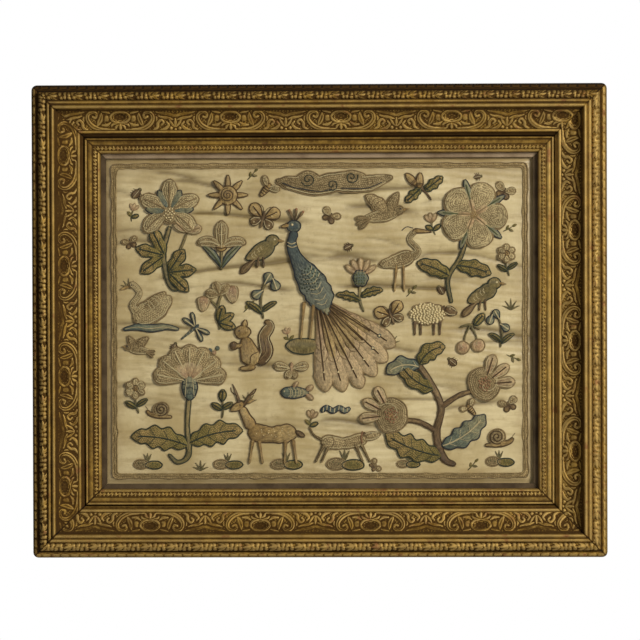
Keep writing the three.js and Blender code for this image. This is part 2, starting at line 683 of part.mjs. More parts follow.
const snail = () => [
  limb("gold", [[-14, 0, 2.4], [-10, -4, 4], [0, -6, 5], [12, -7, 2]]),
  disc("lace", 1, 1, 8, 7.4),
];

const fish = () => [
  blade("teal", -14, 0, 90, 26, 11, { full: 0.4 }),
  blade("salmon", 9, 1, 52, 9, 5, { steps: 3 }),
  blade("salmon", 9, -1, 128, 9, 5, { steps: 3 }),
  blade("salmon", -3, 4, 40, 8, 4, { steps: 3 }),
];

const cloud = () => [
  limb("lace", [[-52, 3, 4], [-38, 1, 13], [-16, -2, 17], [6, 2, 19], [30, 0, 15], [46, 4, 10],
    [56, 6, 3]]),
  disc("lace", -22, 4, 13, 8, { lobes: 4, depth: 0.1 }),
  disc("lace", 18, 6, 14, 7, { lobes: 4, depth: 0.1 }),
];

const sun = () => [
  ...ring(8, 0, (turn) => blade("gold", 0, 0, turn, 17, 4.4, { full: 0.5, steps: 3 })),
  disc("gold", 0, 0, 8, 8, { sides: 12 }),
];

const leafSprig = () => [
  limb("olive", [[0, -12, 1.8], [1, -2, 2], [0, 6, 1.8]], 1),
  blade("leaf", 0, 4, 4, 12, 7),
  blade("leaf", 0, -4, -58, 12, 6),
  blade("leaf", 0, -3, 60, 12, 6),
];

// Where each slip is sewn: [node, motif, x, z, turn clockwise, size, mirrored]
const SLIPS = [
  ["peacock", peacock, -8, 36, 0, 1.02, 1],
  ["columbine", columbine, -140, 36, 0, 1.12, 1],
  ["rose", rose, 142, 97, 22, 1.12, 1],
  ["carnation", carnation, -121, -130, 0, 1.24, 1],
  ["pomegranate", pomegranate, 114, -131, 0, 1.1, -1],
  ["cloud", cloud, 12, 126, 0, 1, 1],
  ["sun", sun, -84, 116, 0, 1.1, 1],
  ["stag", stag, -45, -106, 0, 1.12, 1],
  ["hound", hound, 20, -114, 0, 1.1, -1],
  ["squirrel", squirrel, -64, -24, 0, 1.15, 1],
  ["sheep", sheep, 102, 4, 0, 1.1, -1],
  ["swan", swan, -157, 9, 0, 1.1, 1],
  ["heron", heron, 77, 54, 0, 1.15, -1],
  ["dove", dove, 60, 96, -10, 1, -1],
  ["dove_small", dove, -168, -27, 8, 0.62, 1],
  ["finch", finch, -52, 64, 0, 1, -1],
  ["finch_small", finch, 152, 24, 0, 1, -1],
  ["thistle", thistle, 37, 32, 0, 1, 1],
  ["strawberry", strawberry, -92, 14, 0, 1.1, 1],
  ["acorns", acorns, 94, 122, 20, 0.9, -1],
  ["bellflower", bellflower, -54, 24, 0, 1.1, 1],
  ["bellflower_small", bellflower, 168, -7, 0, 0.9, -1],
  ["daisy", daisy, -170, -66, 0, 1, 1],
  ["daisy_right", daisy, 172, 58, 0, 0.9, 1],
  ["cherries", cherries, 139, -16, 0, 1, 1],
  ["fleur", fleur, -90, 71, 0, 1, 1],
  ["butterfly", butterfly, -52, 94, 14, 0.95, 1],
  ["butterfly_low", butterfly, 66, 4, -20, 0.9, 1],
  ["moth", moth, -26, -44, 0, 0.85, 1],
  ["bee", bee, -49, 121, 40, 1, 1],
  ["bee_low", bee, 139, -82, -40, 0.8, 1],
  ["dragonfly", dragonfly, -117, -8, 50, 0.85, 1],
  ["grub", grub, 14, -82, 0, 1, 1],
  ["snail", snail, -147, -82, 0, 0.9, 1],
  ["snail_right", snail, 164, -108, 0, 1, -1],
  ["fish", fish, -22, -66, 0, 1, 1],
  ["leaf_sprig", leafSprig, -90, -78, 0, 0.95, 1],
];

// Place a motif's part: size, mirror, turn about the motif's middle, then move
function placer(x, z, turn, size, mirror) {
  const c = Math.cos(radians(turn));
  const s = Math.sin(radians(turn));
  const swing = ([u, v]) => [mirror * u * c + v * s, v * c - mirror * u * s];
  return (section) => {
    const at = swing([section.x * size, section.z * size]);
    const side = swing(section.side).map((value) => mirror * value);
    return { x: x + at[0], z: z + at[1], side, half: section.half * size };
  };
}

function slip([name, motif, x, z, turn, size, mirror]) {
  const place = placer(x, z, turn, size, mirror);
  let solid = null;
  let largest = { size: 0 };
  for (const part of motif()) {
    const [points, triangles] = part.trace(place);
    let piece = solidOf(facetsOf(points, triangles));
    if (piece.volume() < 0) {
      piece = solidOf(facetsOf(points, triangles.map(([a, b, c]) => [a, c, b])));
    }
    solid = solid ? solid.add(piece) : piece;
    if (piece.volume() > largest.size) {
      largest = { size: piece.volume(), thread: part.thread };
    }
  }
  const color = THREADS[largest.thread];
  const silk = new THREE.MeshStandardMaterial({ color, roughness: 0.8, metalness: 0 });
  const mesh = new THREE.Mesh(geometryOf(solid, [x, -SLIP_BACK, z]), silk);
  mesh.name = name;
  mesh.position.set(x, -SLIP_BACK, z);
  return mesh;
}

const picture = new THREE.Group();
picture.add(...rails("frame", OUTER_MOULDING, gilt, true));
picture.add(...rails("sight", SIGHT_MOULDING, giltSlip, false));
picture.add(...rails("fillet", FILLET, taupe, false));
picture.add(backboard(), silkPanel(), braidBorder());
picture.add(...SLIPS.map(slip));

export default picture;
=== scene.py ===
# Looks of the framed silkwork picture, built round its solids. The scene is in metres. Tables and sections
# here are in millimetres, and a point is [x, height forward from the back, z] until its piece is made.
import math

import bpy
import mathutils
import numpy as np
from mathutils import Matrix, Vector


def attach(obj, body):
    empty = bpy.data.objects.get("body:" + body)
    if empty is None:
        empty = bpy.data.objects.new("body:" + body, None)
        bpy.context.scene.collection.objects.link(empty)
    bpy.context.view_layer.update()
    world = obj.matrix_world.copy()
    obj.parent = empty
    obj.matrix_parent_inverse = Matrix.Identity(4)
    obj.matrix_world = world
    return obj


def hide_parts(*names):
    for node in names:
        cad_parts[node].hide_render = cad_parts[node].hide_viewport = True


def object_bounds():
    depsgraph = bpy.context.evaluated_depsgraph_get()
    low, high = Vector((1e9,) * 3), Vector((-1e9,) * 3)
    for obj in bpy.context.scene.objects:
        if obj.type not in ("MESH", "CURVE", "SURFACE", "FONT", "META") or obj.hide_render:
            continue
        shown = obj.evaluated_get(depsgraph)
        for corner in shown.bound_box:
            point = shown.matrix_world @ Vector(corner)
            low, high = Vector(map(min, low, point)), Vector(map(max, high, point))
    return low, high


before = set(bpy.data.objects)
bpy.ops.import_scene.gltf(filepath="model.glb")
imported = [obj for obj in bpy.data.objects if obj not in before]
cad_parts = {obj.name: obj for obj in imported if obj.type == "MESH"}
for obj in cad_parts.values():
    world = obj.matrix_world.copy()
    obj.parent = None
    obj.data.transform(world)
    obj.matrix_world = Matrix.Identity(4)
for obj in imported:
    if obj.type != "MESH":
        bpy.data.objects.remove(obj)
cad_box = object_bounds()

MM = 0.001
WIDTH = (cad_box[1].x - cad_box[0].x) / MM
HEIGHT = (cad_box[1].z - cad_box[0].z) / MM
HALF_X = WIDTH / 2
HALF_Z = HEIGHT / 2
MITRE_GAP = 0.02
MITRE_CUT = MITRE_GAP * math.sqrt(0.5)
CORNER_RADIUS = 5

# Outer moulding, its section from the outer edge inward: [distance from the edge, height from the back]
OUTER_MOULDING = [
    [0, 0], [0, 25], [1.2, 28.6], [3.2, 30.6], [4.6, 31], [6, 29.2], [6.8, 30.4], [8.6, 34.8], [10.6, 36.8],
    [12.8, 36.2], [14.4, 34.6], [15, 36.8], [16.2, 38.6], [17.6, 38.2], [18.4, 37], [19.4, 39.8],
    [20.8, 41.2], [22.2, 40.4], [23, 37], [24.2, 33.6], [26.5, 31.4], [31, 29.4], [36, 27.4], [41.6, 25.4],
    [42, 26.4], [44.2, 26.4], [44.5, 24.6], [45.6, 21.4], [47.8, 20.2], [47.8, 17.6], [41.8, 17.6],
    [41.8, 0],
]

# Inner sight moulding, same columns
SIGHT_MOULDING = [
    [42.1, 12.3], [42.1, 17.3], [48.1, 17.3], [48.1, 20.8], [48.9, 22], [50, 21.4], [50.6, 19.4],
    [51.4, 20.4], [54.2, 20.2], [54.9, 18.8], [55.8, 19.6], [59.4, 18.4], [60.2, 18.8], [61.4, 18.2],
    [62.2, 16.6], [62.2, 12.3],
]

# Heights from the back where the finishes change: the outer wall's top, the inner lip's underside, and the
# sight moulding's back
WALL_TOP = 22
LIP_HEIGHT = 18.5
SIGHT_BACK = 12.5

# Satin ground, braid and slips, as their solids have them
BOARD_FRONT = 5.3
SILK_MARGIN = 43
SILK_THICKNESS = 1.2
SILK_EDGE_HEIGHT = BOARD_FRONT + SILK_THICKNESS
SILK_LIFT = 2.4
SILK_RISE_START = 66.8
SILK_RISE_WIDTH = 5
BRAID_OUTER = 72.2
SLIP_BACK = SILK_EDGE_HEIGHT + SILK_LIFT + 0.3
WALL_HEIGHT = 0.9
CROWN_SHARE = 0.11
CROWN_MOST = 1.7
NARROW = 4.6

# The satin's creases: [x and z of the left end, x and z of the right end, depth, width]
CREASES = [
    [-122, 99, -16, 92, 1.5, 3.6], [-146, 39, -16, 58, 1.4, 3.8], [-94, 35, -26, 29, 1.1, 3.4],
    [22, 31, 116, 30, 1.3, 3.6], [12, 115, 104, 125, 1.1, 3.6], [26, 104, 84, 101, 0.9, 4.6],
    [12, 59, 52, 56, 0.9, 3.6], [-196, -3, -108, -6, 0.9, 3.6], [22, -2, 58, -4, 0.8, 3.4],
    [34, -76, 118, -71, 1, 3.2], [2, -92, 52, -96, 0.9, 3.2], [-60, -42, -16, -46, 0.9, 4.8],
    [54, -25, 90, -28, 0.9, 4.8], [108, -85, 168, -72, 0.9, 4.2], [-190, 70, -150, 76, 0.8, 4.6],
    [120, 62, 190, 50, 0.9, 4.4], [-192, -62, -130, -56, 0.8, 4.6], [126, -8, 192, -14, 0.9, 4.6],
    [-133, 129, -90, 124, 0.9, 3.4], [-192, 120, -158, 112, 0.8, 3.2], [-150, 136, -112, 132, 0.6, 3],
    [40, 76, 76, 71, 0.7, 3.6], [96, 108, 124, 112, 0.7, 3.2], [92, 58, 126, 64, 0.8, 3.6],
    [-118, -52, -84, -56, 0.7, 3.8], [60, -50, 96, -46, 0.7, 3.6],
]
# The broad waves all over it: [depth, length, tilt, phase]
WAVES = [[0.4, 52, 0.06, 0.4], [0.25, 31, -0.1, 1.9]]
SMALL_CREASES = 34

# Edges sharper than these, in degrees, are kept sharp
RAIL_SHARP = 62
WORK_SHARP = 60
SATIN_SHARP = 50


# Small tools


def smooth(value):
    """3v^2 - 2v^3 of a value held between 0 and 1."""
    value = np.clip(value, 0, 1)
    return value * value * (3 - 2 * value)


def through(rows, steps):
    """A Catmull-Rom curve through rows of numbers, with `steps` even steps between two rows."""
    rows = np.array(rows, float)
    padded = np.vstack([2 * rows[0] - rows[1], rows, 2 * rows[-1] - rows[-2]])
    at = np.linspace(0, len(rows) - 1, steps * (len(rows) - 1) + 1)
    first = np.minimum(at.astype(int), len(rows) - 2)
    t = (at - first)[:, None]
    a, b, c, d = (padded[first + k] for k in range(4))
    cubic = (3 * b - a - 3 * c + d) * t**3 + (2 * a - 5 * b + 4 * c - d) * t**2
    return 0.5 * (cubic + (c - a) * t) + b


def even(points, spacing, closed=False):
    """Points of a line set again at even spacing along it."""
    if closed:
        points = np.vstack([points, points[:1]])
    run = np.concatenate([[0], np.cumsum(np.linalg.norm(np.diff(points, axis=0), axis=1))])
    count = max(3 if closed else 2, int(round(run[-1] / spacing)) + (0 if closed else 1))
    at = np.linspace(0, run[-1], count, endpoint=not closed)
    return np.stack([np.interp(at, run, points[:, k]) for k in range(points.shape[1])], axis=1)


def grid(rows, columns, around=False):
    """Quads of a grid as indices (n, 4), and the [row, column] of each corner (n, 4, 2). `around` joins the
    last column to the first."""
    r, c = np.meshgrid(np.arange(rows - 1), np.arange(columns - (not around)), indexing="ij")
    r, c = r.ravel(), c.ravel()
    corners = np.stack([np.stack([r, c], 1), np.stack([r, c + 1], 1), np.stack([r + 1, c + 1], 1),
                        np.stack([r + 1, c], 1)], axis=1)
    return corners[..., 0] * columns + corners[..., 1] % columns, corners


class Piece:
    """A mesh in the making: surfaces are added one by one with their finishes, and all become one object."""

    def __init__(self, name):
        self.name = name
        self.points, self.loops, self.sizes, self.uvs, self.slots = [], [], [], [], []
        self.values, self.finishes, self.count = [], [], 0

    def add(self, points, blocks, **values):
        """points are (n, 3); blocks are (faces (m, k), UVs (m, k, 2), finish); values are named numbers for
        each point."""
        for faces, uv, name in blocks:
            if name not in self.finishes:
                self.finishes.append(name)
            self.loops.append((faces + self.count).ravel())
            self.sizes.append(np.full(len(faces), faces.shape[1]))
            self.uvs.append(np.broadcast_to(uv, faces.shape + (2,)).reshape(-1, 2))
            self.slots.append(np.full(len(faces), self.finishes.index(name)))
        self.points.append(points)
        for key, value in values.items():
            self.values.append((key, self.count, np.broadcast_to(value, len(points))))
        self.count += len(points)

    def made(self, stands_for=None, slot=None, sharp_over=None):
        """Makes the object, smooth except over an angle in degrees. What has a slot rides on the body."""
        points = np.concatenate(self.points)
        placed = np.stack([points[:, 0], -points[:, 1], points[:, 2]], axis=1) * MM
        loops = np.concatenate(self.loops)
        sizes = np.concatenate(self.sizes)
        mesh = bpy.data.meshes.new(self.name)
        mesh.vertices.add(len(placed))
        mesh.loops.add(len(loops))
        mesh.polygons.add(len(sizes))
        mesh.vertices.foreach_set("co", placed.astype(np.float32).ravel())
        mesh.loops.foreach_set("vertex_index", loops.astype(np.int32))
        mesh.polygons.foreach_set("loop_start", (np.cumsum(sizes) - sizes).astype(np.int32))
        mesh.polygons.foreach_set("material_index", np.concatenate(self.slots).astype(np.int32))
        mesh.update(calc_edges=True)
        uv = mesh.uv_layers.new(name="UVMap")
        uv.data.foreach_set("uv", np.concatenate(self.uvs).astype(np.float32).ravel())
        for key in dict.fromkeys(key for key, _, _ in self.values):
            whole = np.zeros(len(points), np.float32)
            for name, start, value in self.values:
                if name == key:
                    whole[start:start + len(value)] = value
            mesh.attributes.new(key, "FLOAT", "POINT").data.foreach_set("value", whole)
        for name in self.finishes:
            mesh.materials.append(FINISHES[name])
        mesh.shade_smooth()
        if sharp_over:
            mesh.set_sharp_from_angle(angle=math.radians(sharp_over))
        obj = bpy.data.objects.new(self.name, mesh)
        bpy.context.scene.collection.objects.link(obj)
        if slot:
            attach(obj, "root")
        if stands_for:
            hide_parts(*stands_for)
        return obj


# Shader tools


def tint(red, green, blue):
    """A colour given in the 0 to 255 numbers of a screen, as linear light."""
    channels = [c / 255 for c in (red, green, blue)]
    return tuple(c / 12.92 if c <= 0.04045 else ((c + 0.055) / 1.055) ** 2.4 for c in channels) + (1.0,)


class Tree:
    """Adds nodes to a shader tree. A socket takes a number, a colour or another node's output."""

    def __init__(self, tree):
        self.tree = tree

    def add(self, kind, sockets=None, out=0, **settings):
        node = self.tree.nodes.new("ShaderNode" + kind)
        for key, value in settings.items():
            setattr(node, key, value)
        self.fill(node, sockets or {})
        return node.outputs[out] if node.outputs else None

    def fill(self, node, sockets):
        for key, value in sockets.items():
            if isinstance(value, bpy.types.NodeSocket):
                self.tree.links.new(value, node.inputs[key])
            else:
                node.inputs[key].default_value = value

    def maths(self, operation, a, b=0.0, c=0.0):
        return self.add("Math", {0: a, 1: b, 2: c}, operation=operation)

    def span(self, value, low, high, to_low=0.0, to_high=1.0, kind="SMOOTHSTEP"):
        sockets = {"Value": value, "From Min": low, "From Max": high, "To Min": to_low, "To Max": to_high}
        return self.add("MapRange", sockets, interpolation_type=kind)

    def mix(self, share, a, b):
        return self.add("Mix", {0: share, 6: a, 7: b}, out=2, data_type="RGBA")

    def noise(self, vector, scale, detail=2.0, roughness=0.5):
        return self.add("TexNoise", {"Vector": vector, "Scale": scale, "Detail": detail,
                                     "Roughness": roughness})

    def attribute(self, name):
        return self.add("Attribute", out="Fac", attribute_name=name)

    def place(self, output="Object"):
        return self.add("TexCoord", out=output)

    def bump(self, height, distance):
        return self.add("Bump", {"Height": height, "Distance": distance, "Strength": 1.0})

    def group(self, name, sockets, out):
        """Adds a shader group and returns the output named, or one for each name of a tuple."""
        node = self.tree.nodes.new("ShaderNodeGroup")
        node.node_tree = bpy.data.node_groups[name]
        self.fill(node, sockets)
        return [node.outputs[o] for o in out] if isinstance(out, tuple) else node.outputs[out]


def shader_group(name, inputs, outputs):
    """A new group with named inputs and outputs, each a kind such as Float or Vector: its tree, its inputs,
    and a call that feeds an output."""
    tree = bpy.data.node_groups.new(name, "ShaderNodeTree")
    for key, kind in inputs.items():
        tree.interface.new_socket(key, in_out="INPUT", socket_type="NodeSocket" + kind)
    for key, kind in outputs.items():
        tree.interface.new_socket(key, in_out="OUTPUT", socket_type="NodeSocket" + kind)
    given = tree.nodes.new("NodeGroupInput").outputs
    result = tree.nodes.new("NodeGroupOutput").inputs
    return Tree(tree), given, lambda key, value: tree.links.new(value, result[key])


FINISHES = {}


def finish(name, sockets, **settings):
    """A finish: a Principled shader with constant values in `sockets`. Returns its tree and a call that
    feeds one of its sockets."""
    material = bpy.data.materials.new(name)
    material.use_nodes = True
    material.node_tree.nodes.clear()
    t = Tree(material.node_tree)
    shader = t.add("BsdfPrincipled", sockets, **settings).node
    output = material.node_tree.nodes.new("ShaderNodeOutputMaterial")
    material.node_tree.links.new(shader.outputs[0], output.inputs["Surface"])
    FINISHES[name] = material
    return t, lambda key, value: material.node_tree.links.new(value, shader.inputs[key])


# Effects shared by several finishes


def make_effects():
    """Dirt and painted shade in hollows, wear and a painted highlight on proud edges, needle lace, flat silk
    stitches, and a cord's twist.
    """
    t, given, give = shader_group("Grime and rubbing", {"HollowAndShade": "Float", "Place": "Vector"},
                                  {"Grime": "Float", "Rubbed": "Float", "Mottle": "Float"})
    broad = t.noise(given["Place"], 26, 4, 0.6)
    fine = t.noise(given["Place"], 420, 3, 0.6)
    patchy = t.maths("MULTIPLY_ADD", broad, 0.9, -0.45)
    speckled = t.maths("MULTIPLY_ADD", fine, 0.8, patchy)
    # The attribute holds the hollows and each side's painted light and shade: low parts get dirt and painted
    # shade, proud parts wear and a painted highlight
    lying = t.maths("ADD", given["HollowAndShade"], speckled)
    give("Grime", t.span(lying, 0.12, 0.8))
    proud = t.maths("MULTIPLY_ADD", given["HollowAndShade"], -1.0, speckled)
    give("Rubbed", t.span(proud, 0.25, 1.0))
    give("Mottle", t.noise(given["Place"], 90, 5, 0.65))

    t, given, give = shader_group("Needle lace", {"Rim": "Float", "Along": "Float", "Place": "Vector"},
                                  {"Height": "Float", "Holes": "Float"})
    uneven = t.noise(given["Place"], 300, 2, 0.6)
    row = t.maths("DIVIDE", t.maths("MULTIPLY_ADD", uneven, 2.4, given["Rim"]), 1.9)
    ridge = t.maths("COSINE", t.maths("MULTIPLY", row, math.tau))
    step = t.maths("MULTIPLY", t.maths("FLOOR", row), 0.5)
    loop = t.maths("MULTIPLY_ADD", t.maths("MULTIPLY_ADD", uneven, 2.4, given["Along"]), 1 / 1.8, step)
    loops = t.maths("COSINE", t.maths("MULTIPLY", loop, math.tau))
    height = t.maths("MULTIPLY_ADD", loops, 0.28, t.maths("MULTIPLY_ADD", ridge, -0.3, 0.5))
    give("Height", height)
    speckle = t.noise(given["Place"], 520, 2, 0.7)
    give("Holes", t.span(t.maths("MULTIPLY_ADD", speckle, 2.2, height), 2.0, 1.1))

    t, given, give = shader_group("Silk stitches", {"Across": "Float", "Along": "Float", "Shade": "Float"},
                                  {"Height": "Float", "Streak": "Float"})
    apart = t.add("CombineXYZ", {0: t.maths("MULTIPLY", given["Across"], 2.1),
                                 1: t.maths("MULTIPLY", given["Along"], 0.22),
                                 2: t.maths("MULTIPLY", given["Shade"], 7.0)})
    streak = t.noise(apart, 1.0, 2, 0.6)
    thread = t.maths("MULTIPLY_ADD", streak, 3.0, t.maths("MULTIPLY", given["Across"], math.tau / 0.62))
    give("Height", t.maths("MULTIPLY_ADD", t.maths("COSINE", thread), 0.3, streak))
    give("Streak", t.span(streak, 0.3, 0.72))

    t, given, give = shader_group("Twisted cord", {"Around": "Float", "Along": "Float"}, {"Height": "Float"})
    turn = t.maths("MULTIPLY_ADD", given["Along"], 1 / 1.5, given["Around"])
    lay = t.maths("COSINE", t.maths("MULTIPLY", turn, math.tau * 2))
    give("Height", t.maths("MULTIPLY_ADD", lay, 0.5, 0.5))


# Finishes of the frame


def gilding(name, gold, deep, roughness):
    """Old gilding: leaf that varies from pale to deep; brown dirt and painted shade in the hollows and on
    the sides lit less, near black where that is deepest (painted shade on the top's outer edge, dirt in deep
    grooves, open mitres), red bole on worn proud edges, and a painted highlight of pale gold on proud edges
    and the side lit more."""
    t, feed = finish(name, {"Specular IOR Level": 0.3})
    place = t.place()
    grime_and_shade, rubbed_and_lit, mottle = t.group("Grime and rubbing", {"HollowAndShade": t.attribute("HollowAndShade"), "Place": place},
                                    ("Grime", "Rubbed", "Mottle"))
    leaf = t.mix(t.span(mottle, 0.35, 0.68), gold, deep)
    # Painted highlight: proud edges, and the side lit more, are mixed towards pale gold
    bright = t.mix(t.maths("MULTIPLY", rubbed_and_lit, 0.42), leaf, tint(208, 180, 118))
    bole = t.maths("MULTIPLY", t.span(t.noise(place, 75, 3, 0.6), 0.58, 0.7), t.span(rubbed_and_lit, 0.1, 0.6))
    worn = t.mix(t.maths("MULTIPLY", bole, 0.7), bright, tint(142, 90, 58))
    # Dirt and painted shade: hollows and the sides lit less are mixed towards dark brown
    dusky = t.mix(t.maths("MULTIPLY", grime_and_shade, 0.92), worn, tint(66, 42, 9))
    # Near black where the darkening is deepest: painted shade on the top's outer edge and cove, dirt in deep
    # grooves, and the open mitres
    darkest_shade_and_dirt = t.span(t.attribute("HollowAndShade"), 1.15, 1.6, 0.0, 0.85)
    feed("Base Color", t.mix(darkest_shade_and_dirt, dusky, tint(34, 22, 8)))
    feed("Metallic", t.span(grime_and_shade, 0.1, 1.0, 0.62, 0.2, "LINEAR"))
    scratched = t.noise(place, 1300, 2, 0.6)
    polish = t.maths("MULTIPLY_ADD", rubbed_and_lit, -0.06, t.maths("MULTIPLY_ADD", mottle, 0.22, roughness))
    feed("Roughness", t.maths("MULTIPLY_ADD", grime_and_shade, 0.3, polish))
    rough = t.maths("MULTIPLY_ADD", mottle, 1.4, t.maths("MULTIPLY", scratched, 0.5))
    feed("Normal", t.bump(rough, 0.00035))


def edge_wash():
    """The rails' outer walls: ochre size, worn and dirty, with a faint grain along the rail."""
    t, feed = finish("edge_wash", {"Specular IOR Level": 0.35})
    place = t.place()
    blotch = t.noise(place, 35, 5, 0.65)
    tone = t.mix(t.span(blotch, 0.3, 0.7), tint(132, 98, 46), tint(74, 50, 24))
    feed("Base Color", tone)
    feed("Metallic", t.span(blotch, 0.35, 0.7, 0.3, 0.05))
    feed("Roughness", t.span(blotch, 0.2, 0.8, 0.66, 0.86))
    feed("Normal", t.bump(t.noise(place, 240, 4, 0.6), 0.0003))


def bare_wood(name, pale, dark, stretch):
    """Unfinished softwood: long grain lines drawn out of a noise, darkened and dusty. They run along the
    axis with the least `stretch`."""
    t, feed = finish(name, {"Specular IOR Level": 0.25})
    long_ways = t.add("Mapping", {"Vector": t.place(), "Scale": stretch})
    grain = t.noise(long_ways, 3.2, 6, 0.62)
    fine = t.noise(long_ways, 22, 3, 0.6)
    tone = t.mix(t.span(grain, 0.34, 0.66), pale, dark)
    feed("Base Color", t.mix(t.span(fine, 0.5, 0.8, 0.0, 0.4), tone, dark))
    feed("Roughness", t.span(grain, 0.3, 0.7, 0.7, 0.88))
    feed("Normal", t.bump(fine, 0.0003))


def fillet_paper(name, clean, foxed):
    """The spacer behind the sight edge: taupe paper, foxed, with a dusty nap."""
    t, feed = finish(name, {"Specular IOR Level": 0.25, "Roughness": 0.86})
    place = t.place()
    spots = t.noise(place, 55, 5, 0.6)
    feed("Base Color", t.mix(t.span(spots, 0.35, 0.75), clean, foxed))
    feed("Normal", t.bump(t.noise(place, 700, 3, 0.6), 0.0002))


# Finishes of the silk


def satin_silk():
    """Aged ivory satin: fine ribs of weft, brown stains, brown dirt with painted shade towards the fillet,
    and painted shade along its creases.
    """
    t, feed = finish("satin_silk", {"Roughness": 0.36, "Sheen Weight": 0.12, "Sheen Roughness": 0.4,
                                    "Sheen Tint": tint(250, 232, 196), "Specular IOR Level": 0.6})
    place = t.place()
    blotch = t.noise(place, 14, 5, 0.62)
    tone = t.mix(t.span(blotch, 0.34, 0.66), tint(222, 205, 158), tint(184, 163, 112))
    streaks = t.add("Mapping", {"Vector": place, "Scale": (26.0, 1.0, 150.0)})
    tone = t.mix(t.span(t.noise(streaks, 1.0, 4, 0.65), 0.45, 0.72, 0.0, 0.55), tone, tint(168, 145, 96))
    fleck = t.noise(place, 130, 4, 0.7)
    foxed = t.mix(t.span(fleck, 0.56, 0.8, 0.0, 0.5), tone, tint(146, 120, 76))
    apart = t.add("VectorMath", {0: place, 1: (-0.0595, -0.008, 0.057)}, operation="SUBTRACT")
    drawn = t.add("Mapping", {"Vector": apart, "Scale": (1.0, 1.0, 0.62)})
    reach = t.add("VectorMath", {0: drawn}, out="Value", operation="LENGTH")
    stain = t.span(t.maths("MULTIPLY_ADD", fleck, 0.006, reach), 0.0125, 0.004, 0.0, 0.4)
    stained = t.mix(stain, foxed, tint(150, 112, 64))
    # Dirt and painted shade: browner towards the fillet, where the frame shades the satin
    dust_and_edge_shade = t.span(t.maths("MULTIPLY_ADD", fleck, 16.0, t.attribute("Inward")), 74.0, 96.0, 0.6, 0.0)
    edged = t.mix(dust_and_edge_shade, stained, tint(152, 126, 82))
    # Painted shade in the creases: darker where the satin dips
    dipped = t.maths("MULTIPLY_ADD", fleck, 0.4, t.attribute("Trough"))
    crease_shade = t.mix(t.span(dipped, 0.5, 2.0, 0.0, 0.85), edged, tint(112, 93, 52))
    feed("Base Color", crease_shade)
    warp = t.add("Mapping", {"Vector": place, "Scale": (2400.0, 1.0, 180.0)})
    weave = t.noise(warp, 1.0, 2, 0.5)
    feed("Normal", t.bump(weave, 0.00018))


def needle_lace(name, body, tip, rim):
    """Detached needle lace: rows of loops that follow the rim, with small holes painted dark as shade, from
    body to tip colour.
    """
    t, feed = finish(name, {"Roughness": 0.78, "Sheen Weight": 0.2, "Sheen Roughness": 0.5,
                            "Sheen Tint": tint(240, 224, 190), "Specular IOR Level": 0.22})
    uv = t.add("SeparateXYZ", {0: t.place("UV")}).node
    place = t.place()
    edge, along, shade = t.attribute("Rim"), t.attribute("Along"), t.attribute("Shade")
    height, holes = t.group("Needle lace", {"Rim": edge, "Along": uv.outputs[1], "Place": place},
                            ("Height", "Holes"))
    mottle = t.noise(place, 120, 4, 0.65)
    share = t.maths("MULTIPLY_ADD", mottle, 0.9, t.maths("SUBTRACT", along, 0.45))
    tone = t.mix(t.span(share, 0.2, 0.9), body, tip)
    tone = t.mix(t.span(edge, 2.0, 0.5, 0.0, 0.5), tone, rim)
    # Painted shade: the holes between the loops are mixed towards the rim colour
    tone = t.mix(t.maths("MULTIPLY", holes, 0.75), tone, rim)
    light = t.maths("MULTIPLY_ADD", mottle, 1.1, t.maths("MULTIPLY_ADD", shade, 0.14, 0.55))
    feed("Base Color", t.add("HueSaturation", {"Color": tone, "Value": light}))
    feed("Normal", t.bump(height, 0.0006))


def silk_stitch(name, body, tip, rim):
    """Long and short stitch: silk laid along the part in streaks, from body to tip colour."""
    t, feed = finish(name, {"Roughness": 0.52, "Sheen Weight": 0.3, "Sheen Roughness": 0.4,
                            "Sheen Tint": tint(236, 226, 204), "Specular IOR Level": 0.4,
                            "Anisotropic": 0.4})
    uv = t.add("SeparateXYZ", {0: t.place("UV")}).node
    edge, along, shade = t.attribute("Rim"), t.attribute("Along"), t.attribute("Shade")
    height, streak = t.group("Silk stitches", {"Across": uv.outputs[0], "Along": uv.outputs[1],
                                               "Shade": shade}, ("Height", "Streak"))
    share = t.maths("MULTIPLY_ADD", streak, 0.55, t.maths("SUBTRACT", along, 0.28))
    tone = t.mix(t.span(share, 0.2, 0.8), body, tip)
    tone = t.mix(t.span(edge, 1.5, 0.3, 0.0, 0.5), tone, rim)
    speckle = t.noise(t.place(), 420, 2, 0.7)
    mottle = t.noise(t.place(), 130, 3, 0.6)
    shaded = t.maths("MULTIPLY_ADD", speckle, 1.5, t.maths("MULTIPLY_ADD", shade, 0.14, -0.35))
    mottled = t.maths("MULTIPLY_ADD", mottle, 0.8, shaded)
    light = t.maths("MULTIPLY_ADD", streak, 0.4, mottled)
    feed("Base Color", t.add("HueSaturation", {"Color": tone, "Value": light}))
    feed("Normal", t.bump(height, 0.0003))


def cord_silk(name, colour):
    """A couched cord of two silk plies, twisted, with painted shade in the grooves between the plies."""
    t, feed = finish(name, {"Roughness": 0.6, "Sheen Weight": 0.25, "Sheen Roughness": 0.4,
                            "Sheen Tint": tint(230, 220, 196), "Specular IOR Level": 0.35})
    uv = t.add("SeparateXYZ", {0: t.place("UV")}).node
    lay = t.group("Twisted cord", {"Around": uv.outputs[0], "Along": uv.outputs[1]}, "Height")
    faded = t.noise(t.place(), 110, 3, 0.6)
    # Painted shade: the grooves between the plies are darker and their crowns lighter
    light = t.maths("MULTIPLY_ADD", lay, 0.3, t.maths("MULTIPLY_ADD", faded, 1.0, 0.35))
    feed("Base Color", t.add("HueSaturation", {"Color": colour, "Value": light}))
    feed("Normal", t.bump(lay, 0.00025))


